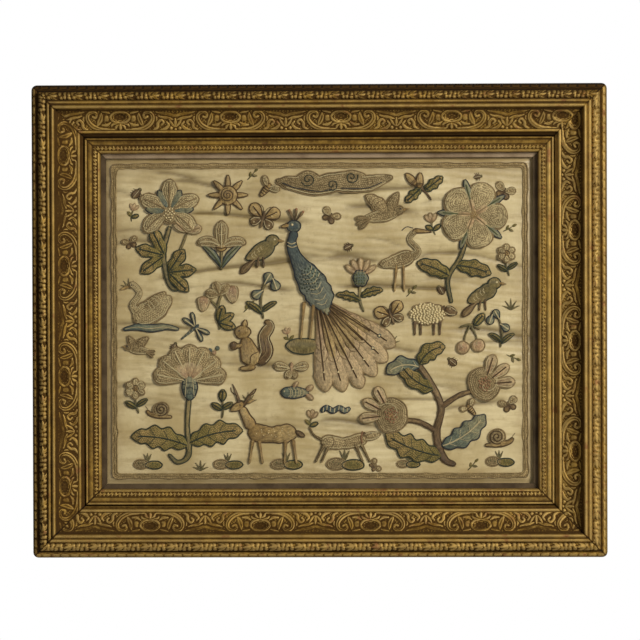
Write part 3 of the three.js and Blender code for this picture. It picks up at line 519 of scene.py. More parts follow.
# Threads: stitch, then the colours of the body, the tip and the rim, the cord that outlines the part, and
# the cord that repeats the outline inside a broad one
THREADS = {
    "lace": [needle_lace, (158, 138, 98), (176, 156, 114), (82, 66, 40), "cord_tan", "cord_cream"],
    "cream": [needle_lace, (174, 156, 114), (190, 172, 128), (92, 74, 46), "cord_tan", "cord_cream"],
    "leaf": [needle_lace, (132, 116, 64), (160, 134, 84), (78, 78, 46), "cord_teal", None],
    "gold": [silk_stitch, (150, 122, 72), (176, 150, 98), (92, 68, 38), "cord_brown", None],
    "salmon": [silk_stitch, (168, 136, 100), (186, 162, 120), (118, 92, 62), "cord_tan", "cord_cream"],
    "brown": [silk_stitch, (98, 76, 48), (134, 110, 72), (54, 40, 24), "cord_brown", "cord_cream"],
    "olive": [silk_stitch, (114, 102, 62), (142, 124, 80), (58, 62, 40), "cord_teal", None],
    "teal": [silk_stitch, (96, 106, 92), (138, 134, 102), (46, 56, 56), "cord_navy", None],
    "navy": [silk_stitch, (70, 82, 80), (116, 120, 102), (38, 45, 50), "cord_navy", None],
}
CORDS = {
    "cord_tan": (142, 120, 82), "cord_brown": (82, 62, 38), "cord_teal": (48, 56, 44),
    "cord_navy": (36, 42, 52), "cord_cream": (200, 184, 140), "cord_green": (84, 90, 58),
    "cord_salmon": (136, 100, 70), "cord_braid": (158, 136, 92),
}


def make_finishes():
    finish("floor", {"Roughness": 0.8, "Base Color": (0.75, 0.74, 0.72, 1.0)})
    gilding("gilding", tint(170, 135, 60), tint(128, 95, 34), 0.56)
    gilding("sight_gilding", tint(172, 138, 64), tint(132, 100, 40), 0.54)
    edge_wash()
    bare_wood("rail_wood", tint(150, 118, 80), tint(96, 68, 42), (3.0, 30.0, 60.0))
    bare_wood("stile_wood", tint(150, 118, 80), tint(96, 68, 42), (60.0, 30.0, 3.0))
    bare_wood("board_wood", tint(146, 116, 82), tint(108, 82, 54), (2.0, 30.0, 34.0))
    fillet_paper("fillet_paper", tint(158, 138, 112), tint(122, 102, 78))
    # Painted shadow: a darker copy of the fillet paper, for the fillets that the sight moulding shades
    fillet_paper("fillet_painted_shadow", tint(96, 80, 58), tint(66, 52, 36))
    satin_silk()
    for name, (stitch, body, tip, rim, *_) in THREADS.items():
        stitch(name, tint(*body), tint(*tip), tint(*rim))
    needle_lace("braid_lace", tint(162, 140, 96), tint(178, 156, 110), tint(104, 82, 48))
    for name, colour in CORDS.items():
        cord_silk(name, tint(*colour))


# Frame: each rail is its section carried along it and cut at the mitres, with its ornament in relief

SCROLL_PERIOD = 101
SCROLL_BAND = [23.8, 41.7]
SCROLL_TABLE_STEP = 0.25
BERRY_STEP = 3.9
GARLAND_PERIOD = 6 * BERRY_STEP
GARLAND_MIDDLE = 10.8
ZIGZAG_PERIOD = 7.2
ZIGZAG_MIDDLE = 57.5
REEL_PITCH = 8.6
REEL_MIDDLE = 2.7

# The main band's ornament, one side of a cartouche, as ribbons: rise, mid groove, then points of [distance
# along from the cartouche's middle, distance from the outer edge, half width]
SCROLLS = [
    [1.5, 0.5, [[0, 24.8, 1.2], [6, 26.2, 1.2], [8.8, 29.8, 1.2], [6, 33.6, 1.2], [0, 35.2, 1.2]]],
    [1.9, 0, [[0, 36.6, 1.5], [0, 38.6, 1.9], [0, 40.6, 1]]],
    [1.6, 0, [[1.6, 36.4, 0.8], [3.6, 38, 1.4], [4.4, 40, 0.9]]],
    [1.4, 0, [[3.4, 35.4, 0.7], [6.6, 36, 1.2], [8.2, 37.6, 0.7]]],
    [1.4, 0, [[12.3, 30.6, 2.9], [12.3, 31, 2.9]]],
    [1.8, 0.7, [[5.4, 40.6, 0.8], [12, 41, 1.7], [19.4, 40.2, 2.1], [26, 37, 2.3], [29.8, 31.8, 2.2],
                [29, 27, 1.9], [25, 24.9, 1.6], [21.6, 26.8, 1.4], [22.4, 30, 1.2], [25, 29.4, 1.1]]],
    [1.3, 0.5, [[17.2, 26.2, 0.6], [17.4, 30, 2.3], [19, 34, 2.2], [21, 37.4, 0.7]]],
    [1.1, 0.3, [[8.6, 34.6, 0.6], [12.4, 36.8, 1.5], [16.4, 36.6, 0.7]]],
    [1.2, 0, [[9.6, 26, 0.8], [13, 25.2, 1.3], [16.6, 24.4, 0.6]]],
    [1.5, 0.4, [[30.6, 41, 0.8], [34, 38.8, 1.5], [34.6, 34.8, 1.5], [37.4, 32.4, 1.3], [39.8, 34.4, 1.1],
                [38, 36.4, 1]]],
    [1.4, 0.3, [[37, 41.2, 0.8], [41.4, 40, 1.6], [44.4, 36.8, 1.4], [42.6, 34.2, 0.7]]],
    [1.6, 0, [[46.4, 39.6, 1.6], [46.6, 39.8, 1.6]]],
    [1.7, 0, [[50.5, 40.8, 1.3], [50.5, 41, 1.3]]],
    [1.5, 0.4, [[50.5, 38.4, 0.7], [50.5, 34.6, 1.5], [50.5, 31, 0.6]]],
    [1.4, 0.4, [[49.4, 38, 0.6], [46.8, 35, 1.3], [45, 31.6, 0.6]]],
    [1.2, 0.3, [[48.6, 32, 0.6], [43.6, 30.4, 1.5], [38.6, 29.8, 1.1], [35, 28.6, 0.5]]],
    [1, 0.2, [[50.5, 28.8, 1.2], [45, 27.2, 1.7], [38, 26, 1.2], [32.6, 25, 0.5]]],
    [1.1, 0, [[33, 29.4, 0.6], [33.6, 31.6, 1], [33, 33.4, 0.5]]],
]
# The hollow eye inside the cartouche: half length, half width, depth, and its middle from the outer edge
EYE = [6.4, 3.3, 1.3, 29.9]
RIBBON_RISE = 0.85

# The garland's leaves, a tuft at the start of each stretch: same columns, but measured along from that start
# and across from the torus's middle line
GARLAND_LEAVES = [
    [1.3, 0.35, [[7.4, 0.5, 0.7], [4.6, 0.2, 1.3], [0.8, -0.4, 0.4]]],
    [1.2, 0.35, [[7.8, 1, 0.6], [5, 2.1, 1.15], [1.6, 3.3, 0.4]]],
    [1.2, 0.35, [[7.8, -0.6, 0.6], [5, -1.9, 1.15], [1.4, -3.3, 0.4]]],
    [1, 0.2, [[10.6, 1.6, 0.5], [8.6, 3, 0.9], [6, 3.6, 0.4]]],
    [1, 0.2, [[10.6, -1.4, 0.5], [8.4, -2.9, 0.9], [5.6, -3.6, 0.4]]],
]


def blurred(table, times):
    """A table of numbers softened `times` times: along each axis a number becomes half of itself and a
    quarter of each of its two neighbours."""
    for _ in range(times):
        for axis in (0, 1):
            table = np.moveaxis(table, axis, 0)
            padded = np.concatenate([table[:1], table, table[-1:]])
            table = np.moveaxis(0.25 * padded[:-2] + 0.5 * padded[1:-1] + 0.25 * padded[2:], 0, axis)
    return table


def ribbons(along, across, strokes):
    """The height of ribbons over a flat band: each is rounded, rise * sqrt(1 - t^2), with t the distance
    from its curve over its half width there, less a groove down its middle. The highest ribbon shows."""
    height = np.zeros(along.shape)
    for rise, groove, rows in strokes:
        nearest = np.full(along.shape, 9.0)
        for x, y, half in through(rows, 10):
            nearest = np.minimum(nearest, np.hypot(along - x, across - y) / half)
        body = rise * np.sqrt(np.clip(1 - nearest**2, 0, 1))
        height = np.maximum(height, body - groove * np.exp(-((nearest / 0.3) ** 2)))
    return height


def scroll_relief(along, depth):
    """The main band: mirrored about each cartouche and repeated along the rail. It is worked out once on a
    fine table, and read from it between its lines."""
    folded = np.abs((along + SCROLL_PERIOD / 2) % SCROLL_PERIOD - SCROLL_PERIOD / 2)
    u = folded / SCROLL_TABLE_STEP
    v = (depth - SCROLL_BAND[0]) / SCROLL_TABLE_STEP
    i = np.clip(u.astype(int), 0, SCROLL_TABLE.shape[0] - 2)
    j = np.clip(v.astype(int), 0, SCROLL_TABLE.shape[1] - 2)
    fu, fv = np.clip(u - i, 0, 1), np.clip(v - j, 0, 1)
    low = SCROLL_TABLE[i, j] * (1 - fu) + SCROLL_TABLE[i + 1, j] * fu
    high = SCROLL_TABLE[i, j + 1] * (1 - fu) + SCROLL_TABLE[i + 1, j + 1] * fu
    return low * (1 - fv) + high * fv


def garland_relief(along, depth):
    """The torus: a garland. Each stretch is a tuft of pointed leaves, then pairs of berries, half balls that
    get smaller towards the next tuft and stand a little off line."""
    u = along % GARLAND_PERIOD
    v = depth - GARLAND_MIDDLE
    pair = np.floor(u / BERRY_STEP)
    middle = (pair + 0.5) * BERRY_STEP + 0.6 * np.sin(1.9 * pair + 1) * np.sign(v)
    spread = np.abs(v - 0.3 * np.sin(2.6 * pair)) - 1.55
    size = 2.2 - 0.06 * pair
    berry = 1.15 * np.sqrt(np.clip(1 - ((u - middle) ** 2 + spread**2) / size**2, 0, 1)) * (pair > 1)
    return np.maximum(berry, ribbons(u, v, GARLAND_LEAVES))


def reel_relief(along, depth):
    """The outer band: long flat reels with a small hollow between two of them."""
    u = along % REEL_PITCH - REEL_PITCH / 2
    return 0.55 * np.sqrt(np.clip(1 - (u / 3.9) ** 4 - ((depth - REEL_MIDDLE) / 1.35) ** 2, 0, 1))


def zigzag_relief(along, depth):
    """The sight moulding's band: a ribbon in zigzag, and a pointed leaf in each of its bays."""
    u = (along + ZIGZAG_PERIOD / 2) % ZIGZAG_PERIOD - ZIGZAG_PERIOD / 2
    v = depth - ZIGZAG_MIDDLE
    bend = 2 / math.pi * np.arcsin(0.97 * np.cos(math.tau * u / ZIGZAG_PERIOD))
    wave = np.abs(v - 0.2 - 1.25 * bend)
    ribbon = 0.5 * np.sqrt(np.clip(1 - (wave / 0.5) ** 2, 0, 1))

    def pointed(rise, offset, half):
        return rise * np.sqrt(np.clip(1 - (offset / np.maximum(half, 0.05)) ** 2, 0, 1)) * (half > 0.1)

    inner = pointed(0.5, u, 1.5 * np.clip((v + 2.2) / 2.6, 0, 1) * (v < 0.5))
    outer = pointed(0.75, ZIGZAG_PERIOD / 2 - np.abs(u), 1.5 * np.clip((2.6 - v) / 2.6, 0, 1) * (v > 0))
    return np.maximum.reduce([ribbon, inner, outer])


def scroll_table():
    """The ribbons of the main band over half a period on a pebbled ground, with the cartouche's eye hollowed
    out."""
    along, depth = np.meshgrid(np.arange(0, SCROLL_PERIOD / 2 + SCROLL_TABLE_STEP, SCROLL_TABLE_STEP),
                               np.arange(*SCROLL_BAND, SCROLL_TABLE_STEP), indexing="ij")
    eye = 1 - (along / EYE[0]) ** 2 - ((depth - EYE[3]) / EYE[1]) ** 2
    pebbles = np.cos(math.tau * along / 2.9 + 2 * np.sin(depth)) * np.cos(math.tau * depth / 2.6)
    raised = ribbons(along, depth, SCROLLS) * RIBBON_RISE
    return np.maximum(raised, 0.2 + 0.3 * pebbles) - EYE[2] * smooth(eye * 1.6)


SCROLL_TABLE = scroll_table()

# Bands in relief: where each lies, from the outer edge, and its ornament
OUTER_BANDS = [[0.9, 4.6, reel_relief], [7.2, 14.2, garland_relief], [*SCROLL_BAND, scroll_relief]]
SIGHT_BANDS = [[55.3, 59.9, zigzag_relief]]

# The four sides: turn about Y, half the length of the side, how far out it lies, and where a cartouche's
# middle falls along it
SIDES = {
    "bottom": [0, HALF_X, HALF_Z, 46.5],
    "left": [90, HALF_Z, HALF_X, -51],
    "top": [180, HALF_X, HALF_Z, -20.5],
    "right": [-90, HALF_Z, HALF_X, -18.5],
}
# How open each side's two mitres look: the sign of the end along it, then that end's share and the other's
MITRE_CRACKS = {
    "bottom": [-1, 1.9, 1.6],
    "left": [1, 1.9, 0.9],
    "top": [1, 0.9, 0.6],
    "right": [1, 0.6, 1.6],
}
# How far the dark line in a mitre spreads to each side
CRACK_WIDTH = 0.6
# How much darker each side is painted, at these distances from the outer edge: painted shade where the side
# is lit less (most on the top's outer edge and cove, and on the left), and below zero painted light,
# lighter, where the side is lit more (most on the right). It adds to the darkening of the hollows
PAINTED_SHADE_AT = [0, 3, 5, 8, 13, 20, 23, 31, 40, 43, 45, 47.9, 50, 55, 62]
PAINTED_SHADE_OVER = {
    "bottom": [0.1, 0, 0.15, -0.1, -0.1, 0, 0.35, 0.2, -0.1, -0.15, 0.1, 0.15, 0.1, 0.2, 0.1],
    "left": [0.3, 0.2, 0.5, 0.2, 0.15, 0.1, 0.45, 0.3, 0.2, 0.1, 0.5, 0.5, 0.2, 0.2, 0.2],
    "top": [1.8, 1.9, 1.3, 0.5, 0.4, 0.1, 0.15, 0.05, -0.05, 0.1, 1.1, 1.1, 0.4, 0.15, 0.1],
    "right": [0, -0.2, 0.1, -0.45, -0.4, -0.1, 0.15, 0.05, -0.3, -0.5, -0.6, -0.5, -0.2, -0.05, 0],
}
# How far below its surroundings a groove in the relief counts as full
GROOVE = 0.26
# Spacing of a section's points, of the rows in a band, on the rest of the front, and behind, then of the
# points along a plain row, and how many points of an ornament row go to one of those
STEP = 0.05
FINE_ACROSS = 0.7
COARSE_ACROSS = 0.9
BACK_ACROSS = 9.0
COARSE_ALONG = 4.9
FINE_PER_COARSE = 7


def section_line(points, soft):
    """A section's line in short even steps, with its corners rounded by a Gaussian `soft` wide."""
    points = np.array(points, float)
    run = np.concatenate([[0], np.cumsum(np.hypot(*np.diff(points, axis=0).T))])
    at = np.arange(0, run[-1] + STEP / 2, STEP)
    line = np.stack([np.interp(at, run, points[:, k]) for k in range(2)], axis=1)
    reach = int(4 * soft / STEP)
    bell = np.exp(-0.5 * (np.arange(-reach, reach + 1) * STEP / soft) ** 2)
    padded = np.pad(line, ((reach, reach), (0, 0)), mode="reflect", reflect_type="odd")
    rounded = [np.convolve(padded[:, k], bell / bell.sum(), mode="valid") for k in range(2)]
    return np.stack(rounded, axis=1)


def stations(section, bands, front_from):
    """Points of the section where rows of vertices run: close together in the bands and on the curved front,
    far apart on the flat back and walls. Each is [distance, height, normal (2), hollow, fine or not]."""
    line = section_line(section, 0.28)
    broad = section_line(section, 2.2)
    slope = np.gradient(line, axis=0)
    slope /= np.linalg.norm(slope, axis=1)[:, None]
    normal = np.stack([-slope[:, 1], slope[:, 0]], axis=1)
    hollow = np.clip(((broad - line) * normal).sum(axis=1) / 1.3, -1, 1)
    fronted = (line[:, 1] > front_from) & (normal[:, 1] > -0.2)
    fine = np.zeros(len(line), bool)
    for low, high, _ in bands:
        fine |= fronted & (line[:, 0] > low) & (line[:, 0] < high)
    spacing = np.where(fine, FINE_ACROSS, np.where(fronted, COARSE_ACROSS, BACK_ACROSS))
    passed = np.cumsum(STEP / spacing)
    chosen = np.flatnonzero(np.diff(np.floor(passed), prepend=-1) > 0)
    chosen = np.union1d(chosen, [0, len(line) - 1])
    return np.column_stack([line[chosen], normal[chosen], hollow[chosen], fine[chosen]])


def worked_rows(rows, bands, close, reach, shift):
    """For each row that lies in a band: its relief at its points, and how dark its grooves are made, as dirt
    and painted shade.
    """
    worked = {}
    for low, high, ornament in bands:
        inside = np.flatnonzero((rows[:, 5] > 0) & (rows[:, 0] > low) & (rows[:, 0] < high))
        depth = rows[inside, 0][:, None] * np.ones(len(close))
        along = close * (reach - depth - MITRE_CUT)
        table = ornament(along - shift, depth) * smooth(np.minimum(depth - low, high - depth) / 0.7)
        groove = np.clip((blurred(table, 3) - table) / GROOVE, -1, 1) + 0.35 * np.clip(-table, 0, 2)
        worked.update({row: (table[k], groove[k]) for k, row in enumerate(inside)})
    return worked


def rail_blocks(rows, starts, coarse, finish_of):
    """The faces between each row of points and the next, all round the section, and the two mitred ends.
    Between a plain row and an ornament row each face has one long edge and several short ones, so nothing
    is open."""
    k = FINE_PER_COARSE
    blocks = []
    for i, row in enumerate(rows):
        after = (i + 1) % len(rows)
        fine_here, fine_after = row[5] > 0, rows[after][5] > 0
        step = np.arange(coarse * k if fine_here and fine_after else coarse)[:, None]
        here = starts[i] + step + [0, 1]
        there = starts[after] + step + [1, 0]
        if fine_here and not fine_after:
            here = starts[i] + step * k + np.arange(k + 1)
        if fine_after and not fine_here:
            there = starts[after] + (step + 1) * k - np.arange(k + 1)
        blocks.append((np.hstack([here, there]), np.zeros(2), finish_of(row, rows[after])))
    first = np.array(starts[:-1])
    last = np.array(starts[1:]) - 1
    blocks.append((first[None, :], np.zeros(2), "rail_wood"))
    blocks.append((last[None, ::-1], np.zeros(2), "rail_wood"))
    return blocks


def rail(node, side, section, bands, finish_of, front_from, rounded):
    """One rail: a row of points along X for each station, few in plain rows and many in ornament rows,
    pushed out along the section's normal by the band's relief, and stopped at the mitres. With `rounded`
    the frame's outer corners are drawn in to a small radius."""
    turn, reach, out, shift = SIDES[side]
    rows = stations(section, bands, front_from)
    plain = np.linspace(-1, 1, int(round(2 * reach / COARSE_ALONG)) + 1)
    near_end = (plain[1] - plain[0]) * np.array([0.33, 0.67])
    plain = np.sort(np.concatenate([plain, -1 + near_end, 1 - near_end]))
    coarse = len(plain) - 1
    finer = np.arange(coarse * FINE_PER_COARSE + 1) / FINE_PER_COARSE
    close = np.interp(finer, np.arange(coarse + 1), plain)
    worked = worked_rows(rows, bands, close, reach, shift)
    points, values, starts = [], [], [0]
    for place, (distance, height, push_in, push_out, hollow, is_fine) in enumerate(rows):
        share = close if is_fine else plain
        relief, groove = worked.get(place, (np.zeros(len(share)), 0))
        hollow = hollow * (0.7 if place in worked else 1) + groove * 0.75
        inward = distance + push_in * relief
        forward = height + push_out * relief
        along = share * (reach - inward - MITRE_CUT)
        if rounded:
            a = np.clip(np.abs(along) - reach + CORNER_RADIUS, 0, None)
            b = np.clip(CORNER_RADIUS - inward, 0, None) * np.ones(len(share))
            pull = np.where((a > 0) & (b > 0), np.maximum(a, b) / np.maximum(np.hypot(a, b), 1e-9), 1)
            along = np.where(pull < 1, np.sign(along) * (reach - CORNER_RADIUS + a * pull), along)
            inward = np.where(pull < 1, CORNER_RADIUS - b * pull, inward)
        inward = inward * np.ones(len(share))
        # Painted light and shade for each side, added to the hollow's darkening
        hollow = hollow + np.interp(distance, PAINTED_SHADE_AT, PAINTED_SHADE_OVER[side])
        open_joint = np.where(along * MITRE_CRACKS[side][0] > 0, *MITRE_CRACKS[side][1:])
        hollow = hollow + open_joint * np.exp(-(((reach - inward - np.abs(along)) / CRACK_WIDTH) ** 2))
        points.append(np.stack([along, forward * np.ones(len(share)), inward - out], axis=1))
        values.append(hollow * np.ones(len(share)))
        starts.append(starts[-1] + len(share))
    swing = math.radians(turn)
    whole = np.concatenate(points)
    x, z = whole[:, 0].copy(), whole[:, 2].copy()
    whole[:, 0] = x * math.cos(swing) + z * math.sin(swing)
    whole[:, 2] = z * math.cos(swing) - x * math.sin(swing)
    piece = Piece(node.replace("_" + side, "_rail_" + side))
    piece.add(whole, rail_blocks(rows, starts, coarse, finish_of), HollowAndShade=np.concatenate(values))
    return piece


def outer_finish(row, after):
    """Gold from the top of the outer wall to the front's inner lip, wash on the wall, bare wood behind."""
    height, facing = (row[1] + after[1]) / 2, (row[2] + after[2]) / 2
    behind_lip = (facing > 0.9 and height < LIP_HEIGHT + 0.5) or (facing > -0.5 and height < LIP_HEIGHT)
    if min(row[1], after[1]) < 0.1 or behind_lip:
        return "rail_wood"
    return "edge_wash" if facing < -0.98 and height < WALL_TOP else "gilding"


def sight_finish(row, after):
    """Gold on the front and lip, bare wood behind."""
    gilt = (row[1] + after[1]) / 2 > SIGHT_BACK and row[3] + after[3] > -1.9
    return "sight_gilding" if gilt else "rail_wood"


def make_frame():
    """The outer and the sight moulding on all four sides. The wood's grain runs along each rail."""
    for side in SIDES:
        outer = rail("frame_" + side, side, OUTER_MOULDING, OUTER_BANDS, outer_finish, WALL_TOP, True)
        inner = rail("sight_" + side, side, SIGHT_MOULDING, SIGHT_BANDS, sight_finish, SIGHT_BACK, False)
        if side in ("left", "right"):
            for moulding in (outer, inner):
                moulding.finishes[moulding.finishes.index("rail_wood")] = "stile_wood"
        outer.made(["frame_" + side], "gilt_moulding", RAIL_SHARP)
        inner.made(["sight_" + side], "gilt_slip", RAIL_SHARP)


# Silk ground


def inward_of(x, z):
    """How far inside the frame's outer edge a point lies."""
    return np.minimum(HALF_X - np.abs(x), HALF_Z - np.abs(z))


def small_creases():
    """Short fine creases, in the columns of CREASES, set at random but the same each time."""
    draw = np.random.default_rng(17)
    x = draw.uniform(-170, 170, SMALL_CREASES)
    z = draw.uniform(-122, 122, SMALL_CREASES)
    half = draw.uniform(12, 46, SMALL_CREASES)
    rise = half * draw.uniform(-0.13, 0.13, SMALL_CREASES)
    depth = draw.uniform(0.2, 0.5, SMALL_CREASES)
    width = draw.uniform(1.5, 2.6, SMALL_CREASES)
    return np.column_stack([x - half, z - rise, x + half, z + rise, depth, width])


ALL_CREASES = np.vstack([CREASES, small_creases()])


def silk_troughs(x, z):
    """How far the satin dips. Each crease falls off as exp(-distance) from its line, twice as fast below it
    as above, and fades at its ends; then come the broad waves, and fine ripples where the silk is slack."""
    troughs = np.zeros(x.shape)
    for x0, z0, x1, z1, depth, width in ALL_CREASES:
        along = (x - x0) / (x1 - x0)
        across = z - (z0 + (z1 - z0) * along + 1.5 * np.sin(5 * along))
        ends = smooth(3 * along + 0.5) * smooth(3 * (1 - along) + 0.5)
        reach = np.sqrt((across / np.where(across > 0, 0.9 * width, 0.45 * width)) ** 2 + 0.02) - 0.14
        troughs += 1.3 * depth * ends * np.exp(-1.3 * reach)
    for depth, length, tilt, phase in WAVES:
        troughs += depth / 2 * (1 + np.sin(math.tau * (z + tilt * x) / length + phase + 0.008 * x))
    slack = 0.5 + 0.5 * np.sin(x / 47 + 1.3) * np.sin(z / 31 - 0.6)
    ripple = np.sin(math.tau * (z + 0.05 * x + 2.2 * np.sin(x / 23)) / 6.4)
    return troughs + 0.2 * slack * (1 + ripple)


def silk_height(x, z):
    """The satin's front: from its pinched edge it rises to its lift over the board, less its troughs."""
    x, z = np.asarray(x, float), np.asarray(z, float)
    rise = smooth((inward_of(x, z) - SILK_RISE_START) / SILK_RISE_WIDTH)
    return SILK_EDGE_HEIGHT + rise * np.maximum(0.2, SILK_LIFT - silk_troughs(x, z))


def make_satin():
    """The ground as one closed cloth: its front on a grid, its back a cloth's thickness behind."""
    def lines(half, step):
        field = half - SILK_RISE_START
        inner = np.linspace(-field, field, int(round(2 * field / step)) + 1)
        edge = half - SILK_MARGIN
        outer = np.linspace(field, edge, 9)[1:]
        return np.concatenate([-outer[::-1], inner, outer])

    x, z = np.meshgrid(lines(HALF_X, 5.6), lines(HALF_Z, 1.15))
    front = np.stack([x, silk_height(x, z), z], axis=-1)
    back = front - [0, SILK_THICKNESS, 0]
    rows, columns = x.shape
    faces, _ = grid(rows, columns)
    layer = rows * columns
    index = np.arange(layer).reshape(rows, columns)
    rim = np.concatenate([index[0, :-1], index[:-1, -1], index[-1, :0:-1], index[:0:-1, 0]])
    after = np.roll(rim, -1)
    sides = np.stack([after, rim, rim + layer, after + layer], axis=1)
    everywhere = np.concatenate([front.reshape(-1, 3), back.reshape(-1, 3)])
    all_faces = np.concatenate([faces, faces[:, ::-1] + layer, sides])
    uv = everywhere[all_faces][..., [0, 2]]
    across, up = everywhere[:, 0], everywhere[:, 2]
    piece = Piece("satin_silk_ground")
    piece.add(everywhere, [(all_faces, uv, "satin_silk")], Inward=inward_of(across, up),
              Trough=silk_troughs(across, up))
    satin = piece.made(["satin_ground"], "satin", SATIN_SHARP)


# Cords, knots and worked parts

# Radii of the cords of a worked part: round it, the same again inside, down its middle, beside that, across
OUTLINE = 0.6
INNER_OUTLINE = 0.42
VEIN = 0.62
SIDE_VEIN = 0.26
BAR = 0.36
# How much higher each part of a slip lies than the one before, for so many parts
LAYER = 0.11
LAYERS = 12
# A motif stitched flat: its height as a share of a slip's, and how much lower its foot lies
FLAT_SHARE = 0.45
FLAT_DROP = 0.3


def tube(piece, path, radius, finish_name, sides=6, closed=False):
    """A cord: rings of `sides` points round a path of [x, height, z], closed at its ends by one face."""
    ahead = np.roll(path, -1, axis=0) - path if closed else np.gradient(path, axis=0)
    if closed:
        ahead = ahead + np.roll(ahead, 1, axis=0)
    run = ahead / np.maximum(np.linalg.norm(ahead, axis=1), 1e-9)[:, None]
    flat = np.stack([run[:, 2], np.zeros(len(run)), -run[:, 0]], axis=1)
    flat /= np.maximum(np.linalg.norm(flat, axis=1), 1e-6)[:, None]
    out = np.cross(flat, run)
    angle = math.tau * np.arange(sides) / sides
    ring = flat[:, None] * np.cos(angle)[None, :, None] + out[:, None] * np.sin(angle)[None, :, None]
    thick = np.broadcast_to(radius, len(path))[:, None, None]
    points = (path[:, None] + ring * thick).reshape(-1, 3)
    rows = len(path)
    if closed:
        faces, corners = grid(rows + 1, sides, True)
        faces = faces % (rows * sides)
    else:
        faces, corners = grid(rows, sides, True)
    length = np.concatenate([[0], np.cumsum(np.linalg.norm(np.diff(path, axis=0), axis=1))])
    length = np.append(length, length[-1] + np.linalg.norm(path[-1] - path[0]))
    uv = np.stack([corners[..., 1] / sides, length[corners[..., 0]]], axis=-1)
    blocks = [(faces, uv, finish_name)]
    if not closed:
        blocks.append((np.arange(sides)[None, ::-1], np.zeros(2), finish_name))
        blocks.append(((rows - 1) * sides + np.arange(sides)[None, :], np.zeros(2), finish_name))
    piece.add(points, blocks)


def knots(piece, middles, radius, finish_name):
    """French knots: domes of three rings of six points, a little flattened, at each [x, height, z]."""
    angle = math.tau * np.arange(6) / 6
    rings = [[1, -0.3], [0.9, 0.35], [0.45, 0.72]]
    dome = np.concatenate([np.stack([r * np.cos(angle), np.full(6, h), r * np.sin(angle)], axis=1)
                           for r, h in rings])
    faces, _ = grid(3, 6, True)
    top = np.arange(12, 18)[None, :]
    bottom = np.arange(5, -1, -1)[None, :]
    middles = np.asarray(middles, float)
    points = (middles[:, None] + dome[None] * radius).reshape(-1, 3)
    start = 18 * np.arange(len(middles))[:, None, None]
    blocks = [((start + shape[None]).reshape(-1, shape.shape[1]), np.zeros(2), finish_name)
              for shape in (faces, top, bottom)]
    piece.add(points, blocks)


def blade(thread, x, z, turn, length, width, bend=0, full=0.5, blunt=0.6, lobes=0, depth=0.3, **extras):
    """A leaf, petal, feather or wing. It starts at [x, z], sets off at `turn` degrees from up, clockwise,
    and bends evenly. Its half width goes as sin(pi t^e)^blunt, with e such that it is widest at `full`, and
    lobes scallop it."""
    count = max(9, int(length / 1.5), 8 * lobes)
    t = np.linspace(0, 1, count + 1)
    heading = np.radians(turn + bend * t)
    steps = length / count * np.stack([np.sin(heading + math.radians(bend / count / 2)),
                                       np.cos(heading + math.radians(bend / count / 2))], axis=1)
    middle = np.array([x, z]) + np.concatenate([[[0, 0]], np.cumsum(steps[:-1], axis=0)])
    swell = np.sin(math.pi * t ** (math.log(0.5) / math.log(full))).clip(0) ** blunt
    scallop = 1 - depth * (0.5 + 0.5 * np.cos(math.tau * lobes * t) if lobes else 0)
    side = np.stack([np.cos(heading), -np.sin(heading)], axis=1)
    return {"thread": thread, "middle": middle, "side": side, "half": width / 2 * swell * scallop,
            "domed": width / 2 > NARROW, **extras}


def leaf(x, z, turn, length, width, **extras):
    """A leaf of green lace, with a vein."""
    return blade("leaf", x, z, turn, length, width, vein="cord_teal", **extras)


def limb(thread, rows, **extras):
    """A stem, neck, body or leg along rows of [x, z, width], joined by a smooth curve, its ends rounded."""
    line = even(through(rows, 12), 1.3)
    ahead = np.gradient(line[:, :2], axis=0)
    ahead /= np.linalg.norm(ahead, axis=1)[:, None]
    half = line[:, 2] / 2
    run = np.concatenate([[0], np.cumsum(np.linalg.norm(np.diff(line[:, :2], axis=0), axis=1))])
    from_end = np.minimum(run, run[-1] - run) / np.maximum(half, 0.1)
    rounded = np.sqrt(np.clip(1 - np.clip(1 - from_end, 0, 0.96) ** 2, 0, 1))
    side = np.stack([ahead[:, 1], -ahead[:, 0]], axis=1)
    return {"thread": thread, "middle": line[:, :2], "side": side, "half": half * rounded,
            "domed": half.max() > NARROW, **extras}


def disc(thread, x, z, wide, tall, turn=0, lobes=0, depth=0.15, **extras):
    """A fruit, head, flower centre or mound: an ellipse with its lobes."""
    return {"thread": thread, "centre": np.array([x, z], float), "radii": (wide, tall), "turn": turn,
            "lobes": lobes, "depth": depth, **extras}


def fan(count, spread, make):
    """`count` parts spread evenly from -spread to +spread degrees."""
    return [make(spread * (2 * i / (count - 1) - 1)) for i in range(count)]


def ring(count, start, make):
    """`count` parts all the way round."""
    return [make(start + 360 * i / count) for i in range(count)]


def legs(thread, top, length, width, *feet):
    """A leg for each of `feet`, [x, how far its foot steps aside], thicker at the top."""
    return [limb(thread, [[x, top, width * 1.8], [x + step / 2, top - length / 2, width],
                          [x + step, top - length, width]], plain=True) for x, step in feet]


# Where the eleven points across a part lie, from rim to rim
COLUMNS = np.sin(math.pi / 2 * np.linspace(-1, 1, 11))


def dome_height(reach, half, domed):
    """Height over the wall's foot, `reach` from the middle (0) to the rim (1): a rounded wall, and a crown
    where the part is wide."""
    wall = WALL_HEIGHT * np.clip(half / 1.2, 0.5, 1) * np.sqrt(np.clip(1 - np.abs(reach) ** 3, 0, 1))
    crown = np.minimum(CROWN_SHARE * 2 * half, CROWN_MOST) if domed else 0.25 * half
    return wall + crown * (1 - reach**2)


